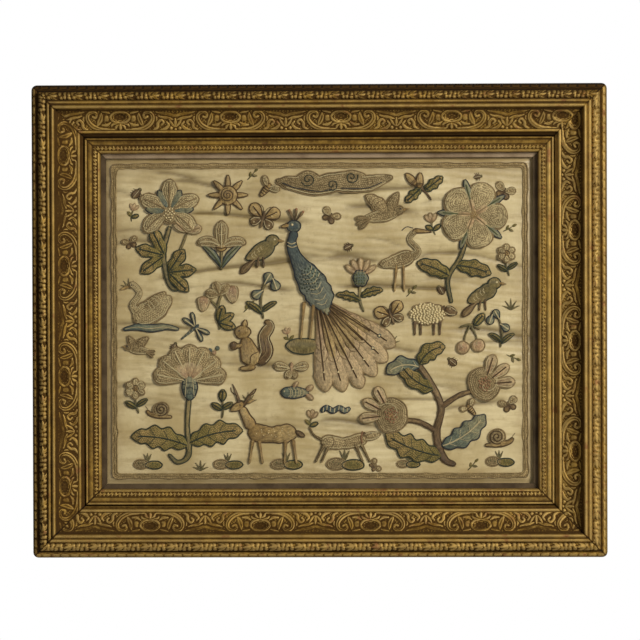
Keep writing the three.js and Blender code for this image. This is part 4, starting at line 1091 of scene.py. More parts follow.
class Slip:
    """One slip in the making. Its parts are placed one over another, each a little higher, and lines and
    knots are laid over what is under them. With `piece` given, the motif is stitched flat, in that piece."""

    def __init__(self, name, x, z, turn, size, mirror, piece=None):
        self.piece = piece or Piece(name + "_worked")
        self.puff, self.foot = (FLAT_SHARE, SLIP_BACK - FLAT_DROP) if piece else (1, SLIP_BACK)
        self.at, self.size, self.mirror = np.array([x, z], float), size, mirror
        angle = math.radians(turn)
        self.swing = np.array([[mirror * math.cos(angle), -mirror * math.sin(angle)],
                               [math.sin(angle), math.cos(angle)]])
        self.draw = np.random.default_rng(sum(map(ord, name)) + int(x))
        self.tops = []
        self.order = 0

    def placed(self, points):
        return self.at + self.size * np.asarray(points, float) @ self.swing

    def surface(self, spots):
        """The height of the topmost part at each placed [x, z]: the silk's, where no part is."""
        height = silk_height(spots[:, 0], spots[:, 1])
        for top in self.tops:
            height = np.maximum(height, top(spots))
        return height

    def add(self, part):
        self.base = self.foot + LAYER * self.puff * min(self.order, LAYERS)
        self.order += 1
        shade = self.draw.uniform(-1, 1)
        if "centre" in part:
            self.add_disc(part, shade)
        else:
            self.add_bar(part, shade)

    def add_bar(self, part, shade):
        """Rows across a blade or limb: eleven points over its top and two at its foot, in the silk."""
        middle = self.placed(part["middle"])
        side = self.mirror * part["side"] @ self.swing
        half = np.maximum(part["half"] * self.size, 0.28)
        run = np.concatenate([[0], np.cumsum(np.linalg.norm(np.diff(middle, axis=0), axis=1))])
        every = np.arange(0, run[-1] + 8, 4)
        wobble = np.interp(run, every, self.draw.normal(0, 1, len(every)))
        half = half * (1 + 0.06 * wobble)
        spots = middle[:, None] + side[:, None] * (half[:, None] * COLUMNS)[..., None]
        reach = np.broadcast_to(COLUMNS, spots.shape[:2])
        puff = self.puff
        height = self.base + puff * dome_height(reach, half[:, None], part["domed"])
        foot = spots[:, [-1, 0]]
        foot_height = silk_height(foot[..., 0], foot[..., 1]) - 0.25
        around = np.concatenate([spots, foot], axis=1)
        heights = np.concatenate([height, foot_height], axis=1)
        points = np.stack([around[..., 0], heights, around[..., 1]], axis=-1)
        rows, columns = heights.shape
        faces, corners = grid(rows, columns, True)
        across = np.concatenate([half[:, None] * COLUMNS, half[:, None], -half[:, None]], axis=1)
        from_end = np.minimum(run, run[-1] - run)[:, None]
        rim = np.minimum(half[:, None] - np.abs(across), from_end * np.ones(columns))
        uv = np.stack([across[corners[..., 0], corners[..., 1] % columns],
                       run[corners[..., 0]]], axis=-1)
        finish_name = part["thread"]
        blocks = [(faces, uv, finish_name), (np.arange(columns)[None, ::-1], uv[0, 0], finish_name),
                  ((rows - 1) * columns + np.arange(columns)[None, :], uv[-1, 0], finish_name)]
        along = np.broadcast_to((run / run[-1])[:, None], heights.shape)
        self.piece.add(points.reshape(-1, 3), blocks, Rim=rim.ravel(), Along=along.ravel(), Shade=shade)
        base, domed = self.base, part["domed"]

        def top(wanted):
            apart = wanted[:, None] - middle[None]
            nearest = np.argmin((apart**2).sum(axis=2), axis=1)
            offset = apart[np.arange(len(wanted)), nearest]
            reach_there = (offset * side[nearest]).sum(axis=1) / half[nearest]
            along_there = np.abs(offset[:, 0] * side[nearest, 1] - offset[:, 1] * side[nearest, 0])
            inside = (np.abs(reach_there) <= 1) & (along_there < 1.2)
            crown = puff * dome_height(np.clip(reach_there, -1, 1), half[nearest], domed)
            return np.where(inside, base + crown, 0)

        self.tops.append(top)
        if not part.get("plain"):
            self.couch(part, points, middle, side, half)

    def couch(self, part, points, middle, side, half):
        """The cords of a blade or limb: its outline, the same again inside a broad one, its vein with side
        veins, and bars across it."""
        cord, inner_cord = THREADS[part["thread"]][4:]
        puff, rows = self.puff, len(points)

        def arc(row, reach, radius, colour):
            row = np.clip(row, 0, rows - 1).astype(int)
            spot = middle[row] + side[row] * (half[row] * reach)[:, None]
            high = self.base + puff * dome_height(reach, half[row], part["domed"]) + 0.1
            tube(self.piece, np.stack([spot[:, 0], high, spot[:, 1]], axis=1), radius, colour)

        if half.max() > 1.9:
            for column in (0, 10):
                edge = even(points[:, column], 1.4)
                edge[:, 1] = edge[:, 1] * 0.35 + (self.base + 0.45 * puff) * 0.65
                tube(self.piece, edge, OUTLINE, cord, 5)
        if inner_cord and half.max() > 3.4 and "bars" not in part:
            within = slice(int(rows * 0.12), int(rows * 0.93))
            for column in (2, 8):
                path = even(points[within, column] + [0, 0.1, 0], 1.7)
                tube(self.piece, path, INNER_OUTLINE, inner_cord, 5)
        if "vein" in part:
            within = slice(int(rows * 0.06), int(rows * 0.9))
            tube(self.piece, even(points[within, 5] + [0, 0.12, 0], 1.5), VEIN, part["vein"])
        t = np.linspace(0, 1, 7)
        for at in np.linspace(0.16, 0.84, part.get("side_veins", 0)):
            for turned in (1, -1):
                arc(int(at * (rows - 1)) + t * 0.1 * rows, turned * 0.72 * t, SIDE_VEIN, part["vein"])
        t = np.linspace(-0.86, 0.86, 9)
        for at in part.get("bars", ()):
            bowed = int(at * (rows - 1)) + 0.09 * rows * (1 - t**2)
            arc(bowed, t, BAR, part.get("bar_cord", cord))

    def add_disc(self, part, shade):
        """Rings from the middle of an ellipse to its rim, one ring at its foot, in the silk, and the cord
        round it."""
        wide, tall = part["radii"]
        count = max(16, int(math.tau * (wide + tall) / 2 * self.size / 1.5))
        angle = math.tau * np.arange(count) / count * -self.mirror
        uneven = 1 + 0.035 * np.interp(np.arange(count) * 12 / count, np.arange(13),
                                       np.resize(self.draw.normal(0, 1, 12), 13))
        scallop = 1 - part["depth"] * (0.5 - 0.5 * np.cos(part["lobes"] * angle)) if part["lobes"] else 1
        turned = math.radians(part["turn"])
        u, v = wide * uneven * scallop * np.cos(angle), tall * uneven * scallop * np.sin(angle)
        rim_line = np.stack([u * math.cos(turned) + v * math.sin(turned),
                             v * math.cos(turned) - u * math.sin(turned)], axis=1)
        centre = self.placed(part["centre"])
        edge = self.placed(part["centre"] + rim_line) - centre
        reach = np.sin(math.pi / 2 * np.linspace(0.1, 1, max(5, int(min(wide, tall) * 0.9))))
        spots = centre + edge[None] * reach[:, None, None]
        radius = min(wide, tall) * self.size
        puff = self.puff
        height = self.base + puff * dome_height(reach, radius, True)
        rings = len(reach)
        heights = np.broadcast_to(height[:, None], spots.shape[:2])
        points = np.stack([spots[..., 0], heights, spots[..., 1]], axis=-1)
        foot = np.stack([spots[-1, :, 0], silk_height(spots[-1, :, 0], spots[-1, :, 1]) - 0.25,
                         spots[-1, :, 1]], axis=-1)
        points = np.concatenate([points, foot[None]])
        faces, corners = grid(rings + 1, count, True)
        far = np.linalg.norm(edge, axis=1)
        out = np.append(reach, 1.0)
        rim = (1 - out)[:, None] * far[None]
        if THREADS[part["thread"]][0] is needle_lace:
            around = np.arange(count + 1) / count * math.tau * radius
            uv = np.stack([out[corners[..., 0]] * radius, around[corners[..., 1]]], axis=-1)
        else:
            uv = (out[:, None, None] * edge[None])[corners[..., 0], corners[..., 1] % count]
        finish_name = part["thread"]
        blocks = [(faces, uv, finish_name), (np.arange(count)[None, ::-1], np.zeros(2), finish_name),
                  (rings * count + np.arange(count)[None, :], np.zeros(2), finish_name)]
        along = np.broadcast_to(out[:, None] ** 2, rim.shape)
        self.piece.add(points.reshape(-1, 3), blocks, Rim=rim.ravel(), Along=along.ravel(), Shade=shade)
        base = self.base
        inverse = np.linalg.inv(self.size * self.swing)

        def top(wanted):
            local = (wanted - centre) @ inverse
            a = local[:, 0] * math.cos(turned) - local[:, 1] * math.sin(turned)
            b = local[:, 1] * math.cos(turned) + local[:, 0] * math.sin(turned)
            there = np.hypot(a / wide, b / tall)
            return np.where(there <= 1, base + puff * dome_height(np.clip(there, 0, 1), radius, True), 0)

        self.tops.append(top)
        if not part.get("plain") and radius > 2.5:
            rim_path = points[rings - 1].copy()
            rim_path[:, 1] = self.base + 0.5 * puff
            tube(self.piece, even(rim_path, 1.4, True), OUTLINE, THREADS[part["thread"]][4], 5, True)

    def lay(self, cord, rows, radius=0.4, closed=False):
        """A couched line through [x, z], on top of what is under it."""
        spots = self.placed(even(through(rows, 8), 1.3 / self.size))
        height = self.surface(spots)
        bell = np.array([1, 2, 3, 2, 1]) / 9
        if len(height) > 6:
            height = np.maximum(height, np.convolve(np.pad(height, 2, mode="edge"), bell, mode="valid"))
        tube(self.piece, np.stack([spots[:, 0], height + radius * 0.5, spots[:, 1]], axis=1), radius, cord)

    def knot(self, cord, spots, radius=0.8):
        """French knots at each [x, z]."""
        placed = self.placed(spots)
        knots(self.piece, np.stack([placed[:, 0], self.surface(placed), placed[:, 1]], axis=1), radius, cord)


def line(cord, rows, radius=0.4):
    """A couched line through rows of [x, z], laid on what is under it."""
    return ("lay", cord, rows, radius)


def dots(cord, spots, radius=0.8):
    """French knots at [x, z] spots."""
    return ("knot", cord, spots, radius)


def coil(x, z, radius, turns, start, wind=1):
    """Points of a flat spiral from its rim to its middle."""
    t = np.linspace(0, 1, int(turns * 10) + 1)
    angle = math.radians(start) + wind * math.tau * turns * t
    reach = radius * (1 - 0.9 * t)
    return np.stack([x + reach * np.cos(angle), z + reach * np.sin(angle)], axis=1)


def scattered(count, x, z, wide, tall):
    """Spots spread evenly over an ellipse, each turned by the golden angle from the last."""
    i = np.arange(count) + 0.5
    angle = i * 2.39996
    reach = np.sqrt(i / count)
    return np.stack([x + wide * reach * np.cos(angle), z + tall * reach * np.sin(angle)], axis=1)


def spot_on(x, z, turn, length):
    """The point `length` away from [x, z], at `turn` degrees from up, clockwise."""
    return [x + length * math.sin(math.radians(turn)), z + length * math.cos(math.radians(turn))]


# Motifs, each drawn about its own middle


def peacock():
    feathers = [(149 + turn, 96 - 3 * abs(i - 3)) for i, turn in enumerate(np.linspace(-25, 25, 6))]
    eyes = [spot_on(4, -10, turn, 0.8 * length) for turn, length in feathers]
    return [
        disc("olive", -6, -58, 17, 7),
        *[blade("salmon", 4, -10, turn, length, 17, full=0.8, vein="cord_brown", bars=[0.5, 0.62])
          for turn, length in feathers],
        *fan(5, 21, lambda turn: blade("gold", 6, -14, 144 + turn, 64, 9, full=0.75, vein="cord_brown")),
        *[disc("navy", x, z, 3.4, 3.4) for x, z in eyes],
        dots("cord_cream", eyes, 1.1),
        *legs("gold", -18, 34, 2.2, [-6, -3], [3, -4]),
        limb("navy", [[-14, 46, 7], [-17, 34, 8], [-12, 20, 12], [-2, 4, 24], [8, -12, 25], [14, -26, 13]]),
        dots("cord_teal", scattered(46, -1, 2, 9, 12), 0.9),
        blade("teal", -8, 16, 146, 52, 21, bend=14, full=0.4,
              bars=[0.12, 0.22, 0.32, 0.42, 0.52, 0.62, 0.72], bar_cord="cord_cream"),
        disc("navy", -15, 50, 6.4, 5.4),
        blade("gold", -19, 51, -100, 8, 4, full=0.3),
        *fan(3, 30, lambda turn: blade("brown", -14, 53, turn + 6, 13, 3, full=0.8)),
        dots("cord_salmon", [spot_on(-14, 53, turn + 6, 12.4) for turn in (-30, 0, 30)], 1.4),
        dots("cord_cream", [[-16.5, 51.4]], 1.3),
        dots("cord_navy", [[-16.7, 51.4]], 0.7),
        line("cord_cream", [[-21.5, 33], [-17, 31], [-12.6, 32.4]], 0.5),
        line("cord_cream", [[-21.5, 36], [-17.4, 34], [-13, 35.6]], 0.5),
    ]


def carnation():
    return [
        limb("olive", [[-15, 6, 2], [-8, 0, 3], [0, 6, 3.6], [-1, 28, 3.2], [1, 54, 3.4]]),
        leaf(0, 12, -66, 44, 19, bend=-30, lobes=4, side_veins=4),
        leaf(0, 14, 62, 42, 19, bend=30, lobes=4, side_veins=4),
        *fan(7, 78, lambda turn: blade("lace", 1, 60, turn, 28, 14, full=0.74, vein="cord_cream")),
        *fan(3, 34, lambda turn: blade("salmon", 1, 60, turn, 16, 10, full=0.7)),
        limb("teal", [[1, 46, 5], [1, 54, 11], [1, 64, 9]], bars=[0.3, 0.5, 0.7]),
        line("cord_cream", [[-2.4, 48], [-1.8, 56], [-1, 63]], 0.35),
        line("cord_cream", [[4.4, 48], [3.8, 56], [3, 63]], 0.35),
    ]


def rose():
    return [
        limb("olive", [[10, -74, 2.6], [0, -56, 3], [3, -34, 3], [0, -8, 3]]),
        leaf(1, -54, -78, 30, 15, bend=-24, lobes=3, depth=0.2, side_veins=4),
        leaf(2, -44, 70, 30, 15, bend=24, lobes=3, depth=0.2, side_veins=4),
        *ring(5, 36, lambda turn: blade("teal", 0, 0, turn, 30, 6, full=0.6, vein="cord_green")),
        *ring(5, 0, lambda turn: blade("cream", 0, 0, turn, 28, 23, full=0.66, blunt=0.5)),
        *ring(5, 36, lambda turn: blade("salmon", 0, 0, turn, 14, 11, full=0.6, vein="cord_tan")),
        disc("gold", 0, 0, 5, 5),
        dots("cord_tan", scattered(19, 0, 0, 3.8, 3.8), 0.8),
    ]


def pomegranate_fruit(x, z, turn, size):
    """One split fruit with its crown, its opening full of seeds."""
    seeds = scattered(20, x, z, size * 0.36, size * 0.46)
    return [
        *fan(3, 34, lambda spread: blade("salmon", x, z, turn + spread, size + 12, 9, full=0.75,
                                         vein="cord_brown")),
        disc("lace", x, z, size, size * 0.92, turn=turn),
        disc("gold", x, z, size * 0.5, size * 0.62, turn=turn),
        dots("cord_salmon", seeds, 1.1),
        line("cord_cream", coil(x, z, size * 0.84, 0.5, 100 - turn), 0.4),
    ]


def pomegranate():
    return [
        limb("brown", [[-10, -2, 3.4], [0, 4, 5.4], [6, 24, 5.4], [2, 46, 5], [10, 66, 4.4], [22, 84, 4]]),
        limb("brown", [[5, 26, 4], [20, 34, 3.6], [34, 36, 3.4]]),
        limb("brown", [[3, 46, 4], [-12, 56, 3.6], [-24, 60, 3.4]]),
        leaf(1, 6, 84, 52, 22, bend=-30, lobes=4, side_veins=5),
        blade("teal", 2, 14, -74, 46, 20, bend=40, lobes=4, vein="cord_cream", side_veins=4),
        leaf(8, 62, 78, 36, 18, bend=-50, lobes=3, side_veins=4),
        blade("teal", 20, 80, 66, 30, 16, bend=70, lobes=3, vein="cord_cream", side_veins=3),
        leaf(20, 82, -20, 28, 16, bend=-70, lobes=3, side_veins=3),
        *pomegranate_fruit(44, 40, 62, 15),
        *pomegranate_fruit(-34, 66, -52, 14),
    ]


def columbine():
    return [
        limb("olive", [[14, -2, 2], [6, -6, 2.8], [0, 2, 3.4], [-3, 24, 3.2], [2, 46, 3.2]]),
        limb("olive", [[-1, 14, 2.6], [10, 26, 2.4], [16, 40, 2.2]]),
        *fan(3, 50, lambda turn: leaf(-2, 22, turn - 76, 25, 12, lobes=2, depth=0.2, side_veins=3)),
        *fan(3, 50, lambda turn: leaf(1, 8, turn + 84, 23, 12, lobes=2, depth=0.2, side_veins=3)),
        *fan(5, 112, lambda turn: blade("cream", 2, 58, turn, 27, 14, bend=turn / 3, full=0.62,
                                        vein="cord_tan")),
        *fan(4, 84, lambda turn: blade("teal", 2, 58, turn, 20, 7, full=0.6)),
        *fan(3, 60, lambda turn: blade("salmon", 16, 41, turn + 12, 13, 8, full=0.65, vein="cord_tan")),
        disc("lace", 2, 56, 7, 8),
        dots("cord_cream", scattered(15, 2, 56, 4.6, 5.4), 0.9),
    ]


def thistle():
    net = [[x, z] for z in (2.4, 5, 7.6, 10.2) for x in np.arange(-4.4, 6.6, 2.2)]
    return [
        limb("olive", [[4, -24, 2], [0, -12, 2.6], [1, 4, 2.8]]),
        leaf(1, -14, -56, 24, 9, bend=-40, lobes=4),
        leaf(1, -10, 54, 22, 9, bend=40, lobes=4),
        *fan(5, 52, lambda turn: blade("salmon", 1, 8, turn, 18, 5, full=0.7)),
        disc("teal", 1, 7, 7.5, 8, lobes=6, depth=0.12),
        dots("cord_green", net, 0.8),
    ]


def strawberry():
    seeds = [[9.4, 12], [7.2, 10.6], [11, 9.4], [8.8, 7.6], [10, 5], [-13.4, 3.6], [-15.2, 2], [-12, 1.4],
             [-14.4, -1]]
    return [
        limb("olive", [[0, -20, 2], [-2, -6, 2.4], [1, 8, 2.4], [9, 15, 2]]),
        limb("olive", [[-1, -2, 2.2], [-8, 5, 2], [-13, 6, 2]]),
        blade("salmon", 9, 17, 170, 15, 12, full=0.34),
        blade("salmon", -13, 8, 186, 13, 11, full=0.34),
        *fan(3, 46, lambda turn: leaf(-1, -14, turn + 60, 15, 8, side_veins=2)),
        *fan(3, 60, lambda turn: blade("lace", 0, 9, turn - 20, 12, 8, full=0.62, vein="cord_tan")),
        dots("cord_cream", seeds, 0.5),
    ]


def acorns():
    return [
        limb("brown", [[-14, -8, 2], [-4, -2, 2.6], [8, 2, 2.2]]),
        leaf(-4, -2, -32, 24, 12, lobes=3, side_veins=3),
        leaf(0, 0, 152, 22, 11, lobes=3, side_veins=3),
        blade("gold", 6, 1, 62, 16, 8, full=0.45, bars=[0.25, 0.36]),
        blade("gold", 2, -1, 16, 16, 8, full=0.45, bars=[0.25, 0.36]),
    ]


def bellflower():
    return [
        limb("olive", [[2, -20, 2], [0, -6, 2.2], [3, 8, 2.2], [10, 14, 2]]),
        leaf(1, -16, -38, 17, 5, bend=-30),
        leaf(1, -14, 42, 15, 5, bend=30),
        *[blade("teal", x, z, turn, 11, 8, full=0.66, vein="cord_cream")
          for x, z, turn in [[10, 14, 160], [2, 4, 236], [3, 9, 30]]],
    ]


def daisy():
    return [
        limb("olive", [[3, -19, 1.8], [0, -8, 2], [0, 2, 2]]),
        leaf(1, -14, -60, 12, 5),
        leaf(1, -12, 58, 12, 5),
        *ring(6, 0, lambda turn: blade("cream", 0, 4, turn, 10, 7, full=0.62)),
        disc("gold", 0, 4, 3.2, 3.2),
        dots("cord_brown", scattered(7, 0, 4, 2.2, 2.2), 0.6),
    ]


def cherries():
    return [
        limb("olive", [[-10, 10, 2], [0, 12, 2.4], [9, 8, 2]]),
        limb("olive", [[0, 12, 1.8], [-5, 2, 1.8], [-6, -6, 1.8]]),
        limb("olive", [[0, 12, 1.8], [5, 2, 1.8], [6, -4, 1.8]]),
        disc("salmon", -7, -9, 6, 6),
        disc("salmon", 7, -7, 6, 6),
        leaf(3, 11, 40, 15, 8, side_veins=2),
        line("cord_cream", coil(-7, -9, 4, 0.2, 110), 0.35),
        line("cord_cream", coil(7, -7, 4, 0.2, 110), 0.35),
    ]


def fleur():
    return [
        limb("olive", [[0, -24, 2.2], [0, -12, 2.6], [0, -2, 3]]),
        *[blade("teal", 0, -22, 24 * x, 30, 6, bend=34 * x, vein="cord_green") for x in (-1, 1)],
        *fan(2, 40, lambda turn: blade("lace", 0, -4, turn, 25, 10, bend=turn * 2, full=0.6,
                                       vein="cord_cream")),
        blade("lace", 0, -5, 0, 27, 12, full=0.55, vein="cord_cream", side_veins=3),
        disc("gold", 0, -3, 5, 4),
        line("cord_brown", [[-4.4, -3], [0, -4], [4.4, -3]], 0.5),
    ]


def stag():
    return [
        limb("gold", [[-19, 4, 8], [-13, 3, 15], [0, 1, 13], [14, 2, 15], [21, 0, 7]]),
        limb("gold", [[-15, 6, 11], [-21, 17, 8], [-24, 24, 6]]),
        blade("gold", -22, 27, -118, 13, 7, full=0.35),
        *[blade("brown", x, 23, turn, length, 3, bend=turn, full=0.3)
          for x, turn, length in [[-25, -12, 21], [-23, 22, 19]]],
        line("cord_brown", [[-27.4, 33], [-32, 36], [-33, 40]], 0.5),
        line("cord_brown", [[-18.6, 33], [-14, 35], [-12, 39]], 0.5),
        *legs("gold", -3, 20, 2.2, [-15, -3], [-10, 3], [12, -1], [18, 3]),
        blade("brown", 20, 4, 120, 9, 4),
        dots("cord_cream", scattered(16, 2, 3, 15, 4), 0.55),
        dots("cord_navy", [[-25.4, 25.6]], 0.7),
        blade("gold", -20, 27, 64, 7, 3, full=0.4),
    ]


def hound():
    return [
        limb("lace", [[-22, 7, 6], [-15, 4, 11], [-2, 1, 10], [11, 2, 12], [17, 0, 6]]),
        blade("lace", -18, 6, -80, 15, 7, full=0.4),
        blade("brown", -20, 10, 150, 7, 4),
        limb("lace", [[15, 3, 3], [23, 8, 2], [27, 15, 1.6]]),
        *legs("lace", 1, 16, 2.2, [-16, -8], [-11, -7], [10, 7], [14, 8]),
        line("cord_salmon", [[-17.6, 11], [-16.4, 6], [-17.4, 1]], 0.7),
        dots("cord_navy", [[-24.6, 9.6]], 0.7),
        line("cord_tan", [[8, 7], [6, 2], [9, -3]], 0.35),
    ]


def squirrel():
    return [
        limb("brown", [[7, -14, 7], [13, -4, 10], [11, 8, 9], [16, 17, 7], [12, 21, 3]]),
        line("cord_tan", [[8, -10], [13, -3], [11.4, 8], [15, 16]], 0.4),
        limb("gold", [[-4, 8, 8], [-2, 0, 13], [1, -9, 16], [2, -15, 10]]),
        disc("gold", -6, 12, 6.4, 5.4),
        blade("gold", -5, 14, 10, 8, 4, full=0.5),
        blade("gold", -4, 2, -100, 10, 3.4),
        disc("brown", -13, 1, 3, 3.4),
        limb("gold", [[4, -15, 6], [-3, -17, 4], [-8, -17, 2.4]]),
        dots("cord_navy", [[-8.6, 13]], 0.8),
        line("cord_brown", [[6, -4], [1, -7], [0, -13]], 0.4),
    ]


def sheep():
    return [
        disc("cream", 2, 2, 16, 10, lobes=8, depth=0.14),
        dots("cord_cream", scattered(92, 2.4, 2, 14.6, 8.8), 1.15),
        blade("brown", -12, 6, -110, 11, 8, full=0.4),
        *legs("brown", -4, 12, 2, [-8, 0], [-3, 0], [8, 0], [13, 0]),
        dots("cord_cream", [[-16.4, 6]], 0.6),
        blade("brown", -12, 9, 150, 6, 3, full=0.5),
    ]


def swan():
    return [
        blade("cream", -14, -6, 74, 38, 20, bend=-28, full=0.42),
        limb("cream", [[-8, -2, 9], [-14, 5, 5], [-8, 15, 4], [-13, 22, 5], [-17, 21, 5]]),
        blade("gold", -17, 21, -110, 8, 3.4, full=0.3),
        blade("lace", -6, 0, 62, 26, 12, bend=-24, full=0.4, bars=[0.25, 0.4, 0.55, 0.7],
              bar_cord="cord_cream"),
        limb("teal", [[-22, -15, 2], [-10, -13, 5], [2, -14, 6], [14, -13, 5], [25, -15, 2]]),
        line("cord_cream", [[-20, -14.6], [-10, -13], [0, -14.4], [12, -13], [22, -14.8]], 0.35),
        dots("cord_navy", [[-14.6, 22.2]], 0.7),
    ]


def heron():
    return [
        blade("lace", -9, 6, 116, 30, 13, bend=-20, full=0.36),
        limb("lace", [[-6, 3, 8], [-12, 9, 4.6], [-5, 18, 3.6], [-10, 25, 4.6]]),
        blade("gold", -8, 25, -94, 15, 3.4, full=0.2),
        blade("teal", -4, 5, 112, 20, 7, full=0.4, bars=[0.3, 0.5, 0.7], bar_cord="cord_cream"),
        *legs("gold", 0, 24, 1.8, [0, -1], [5, 2]),
        dots("cord_navy", [[-10.4, 25.6]], 0.6),
        line("cord_navy", [[-8, 27], [-3, 28], [1, 25]], 0.4),
    ]


def dove():
    return [
        blade("lace", -14, 2, 96, 34, 12, bend=-10, full=0.4),
        blade("lace", -2, 2, 24, 26, 13, bend=30, full=0.4, bars=[0.3, 0.45, 0.6, 0.75],
              bar_cord="cord_tan"),
        blade("lace", -4, 2, -26, 22, 11, bend=-20, full=0.4, bars=[0.3, 0.5, 0.7], bar_cord="cord_tan"),
        *fan(3, 20, lambda turn: blade("lace", 12, 0, 100 + turn, 15, 5, full=0.7, vein="cord_tan")),
        disc("lace", -14, 3, 5, 4.4),
        blade("gold", -17, 3, -92, 7, 3, full=0.3),
        dots("cord_navy", [[-15.8, 4]], 0.7),
    ]


def finch():
    return [
        blade("olive", -10, 8, 128, 30, 15, bend=-16, full=0.4),
        disc("olive", -9, 10, 6, 5.4),
        blade("gold", -13, 10, -96, 7, 3.4, full=0.3),
        blade("teal", -4, 6, 128, 22, 8, full=0.4, bars=[0.25, 0.42, 0.6, 0.75], bar_cord="cord_cream"),
        blade("brown", 5, -5, 134, 22, 6, full=0.7, vein="cord_tan"),
        *legs("brown", -4, 11, 1.8, [0, -1], [4, 1]),
        dots("cord_cream", [[-11, 11]], 1),
        dots("cord_navy", [[-11.2, 11]], 0.55),
    ]


def butterfly():
    return [
        *[blade("gold", x, 1, 52 * x, 17, 12, full=0.66, vein="cord_brown") for x in (-1, 1)],
        *[blade("brown", x, 0, 124 * x, 12, 9, full=0.64) for x in (-1, 1)],
        dots("cord_cream", [[-11, 8.6], [11, 8.6], [-8, 4.6], [8, 4.6], [-7.6, -4.8], [7.6, -4.8]], 0.8),
        limb("brown", [[0, 8, 2], [0, 1, 3.2], [0, -9, 2]]),
        *[line("cord_brown", [[0.6 * x, 7], [2.4 * x, 11], [5 * x, 13]], 0.28) for x in (-1, 1)],
    ]


def moth():
    return [
        *[blade("lace", x, 0, 72 * x, 18, 10, full=0.66, bend=16 * x, vein="cord_cream") for x in (-1, 1)],
        *[blade("lace", 0, -1, 150 * x, 11, 8, full=0.6) for x in (-1, 1)],
        limb("salmon", [[0, 7, 2.4], [0, 1, 4], [0, -8, 2]]),
        dots("cord_navy", [[-12, 3], [12, 3]], 0.8),
    ]


def bee():
    return [
        *[blade("cream", 0, 2, turn, 12, 7, full=0.64) for turn in (-56, 56)],
        limb("gold", [[0, 7, 3], [0, 1, 6], [0, -8, 3]]),
        *[line("cord_brown", [[-2.3, z], [0, z - 0.5], [2.3, z]], 0.45) for z in (3, 0.6, -1.8, -4.2)],
    ]


def dragonfly():
    return [
        *[blade("teal", 0, 4, turn, 17, 5, full=0.7, vein="cord_cream") for turn in (-64, -104, 64, 104)],
        limb("navy", [[0, 9, 3], [0, 4, 4], [0, -16, 2]]),
        *[line("cord_cream", [[-1.1, z], [1.1, z]], 0.3) for z in (0, -4, -8, -12)],
    ]


def grub():
    return [
        limb("navy", [[-13, -2, 3], [-8, 2, 4.6], [-2, -1, 4.6], [4, 2, 4.6], [9, -1, 4.6], [14, 2, 3]]),
        *[line("cord_cream", [[x, z - 2], [x + 0.5, z + 2]], 0.4)
          for x, z in [[-11, 0], [-7.6, 2], [-4.4, 0.4], [-0.6, -0.4], [3.4, 1.8], [7.4, 0], [11, 0.2]]],
    ]


def snail():
    return [
        limb("gold", [[-14, 0, 2.4], [-10, -4, 4], [0, -6, 5], [12, -7, 2]]),
        disc("lace", 1, 1, 8, 7.4),
        line("cord_brown", coil(1, 1, 7, 2.2, -120), 0.5),
        line("cord_brown", [[-13, 1], [-15.6, 4]], 0.28),
    ]


def fish():
    return [
        blade("salmon", 9, 1, 52, 9, 5),
        blade("salmon", 9, -1, 128, 9, 5),
        blade("salmon", -3, 4, 40, 8, 4),
        blade("teal", -14, 0, 90, 26, 11, full=0.4, bars=[0.3, 0.4, 0.5, 0.6, 0.7, 0.8],
              bar_cord="cord_cream"),
        dots("cord_cream", [[-10.6, 1.2]], 0.9),
        dots("cord_navy", [[-10.8, 1.2]], 0.5),
    ]


def cloud():
    return [
        limb("lace", [[-52, 3, 4], [-38, 1, 13], [-16, -2, 17], [6, 2, 19], [30, 0, 15], [46, 4, 10],
                      [56, 6, 3]]),
        disc("lace", -22, 4, 13, 8, lobes=4, depth=0.1),
        disc("lace", 18, 6, 14, 7, lobes=4, depth=0.1),
        line("cord_teal", coil(-22, 4, 6.6, 1.6, 200), 0.45),
        line("cord_teal", coil(18, 6, 6, 1.6, 20, -1), 0.45),
        line("cord_teal", coil(0, -1, 5.6, 1.5, 240), 0.45),
        line("cord_navy", [[-46, 1], [-36, -3], [-26, -5], [-12, -7], [0, -5]], 0.4),
        line("cord_navy", [[8, -4], [22, -4.6], [34, -3.6], [46, 1.4]], 0.4),
        line("cord_tan", coil(36, 1.6, 4, 1.3, 90), 0.4),
        line("cord_tan", coil(-38, 1.6, 4, 1.3, 60), 0.4),
    ]


def sun():
    return [
        *ring(8, 0, lambda turn: blade("gold", 0, 0, turn, 17, 4.4, full=0.5)),
        disc("gold", 0, 0, 8, 8),
        line("cord_brown", coil(0, 0, 6, 2.4, 90), 0.4),
    ]


def leaf_sprig():
    return [
        limb("olive", [[0, -12, 1.8], [1, -2, 2], [0, 6, 1.8]]),
        leaf(0, 4, 4, 12, 7, side_veins=2),
        leaf(0, -4, -58, 12, 6),
        leaf(0, -3, 60, 12, 6),
    ]


# Small motifs stitched flat on the satin between the slips


def hillock():
    return [
        disc("lace", -7, 0, 7, 4.4),
        disc("leaf", 5, -0.6, 8, 3.8),
        *fan(3, 26, lambda turn: blade("olive", -1, 2.4, turn, 8, 1.8, full=0.35, plain=True)),
        dots("cord_green", [[-9, 1.4], [-5.4, 0.4], [4, 0.6], [8.4, 0]], 0.6),
    ]


def tuft():
    return fan(5, 52, lambda turn: blade("olive", 0, -5, turn, 12 - abs(turn) / 26, 2, bend=turn / 2,
                                         full=0.35, plain=True))


def beetle():
    return [
        *[line("cord_brown", [[-4.8, z - 1], [0, z + 0.6], [4.8, z - 1]], 0.28) for z in (2, 0, -2)],
        disc("brown", 0, -0.6, 3, 4.2),
        disc("olive", 0, 4, 1.8, 1.6, plain=True),
        line("cord_cream", [[0, 3], [0, -4.4]], 0.28),
    ]


def bud():
    return [
        limb("olive", [[1, -9, 1.4], [-0.6, -3, 1.6], [0, 3, 1.8]]),
        blade("leaf", 0, -5, 58, 8, 4),
        blade("leaf", 0, -4, -54, 7, 3.8),
        *fan(3, 34, lambda turn: blade("salmon", 0, 2, turn, 8.4, 4.2, full=0.6)),
    ]


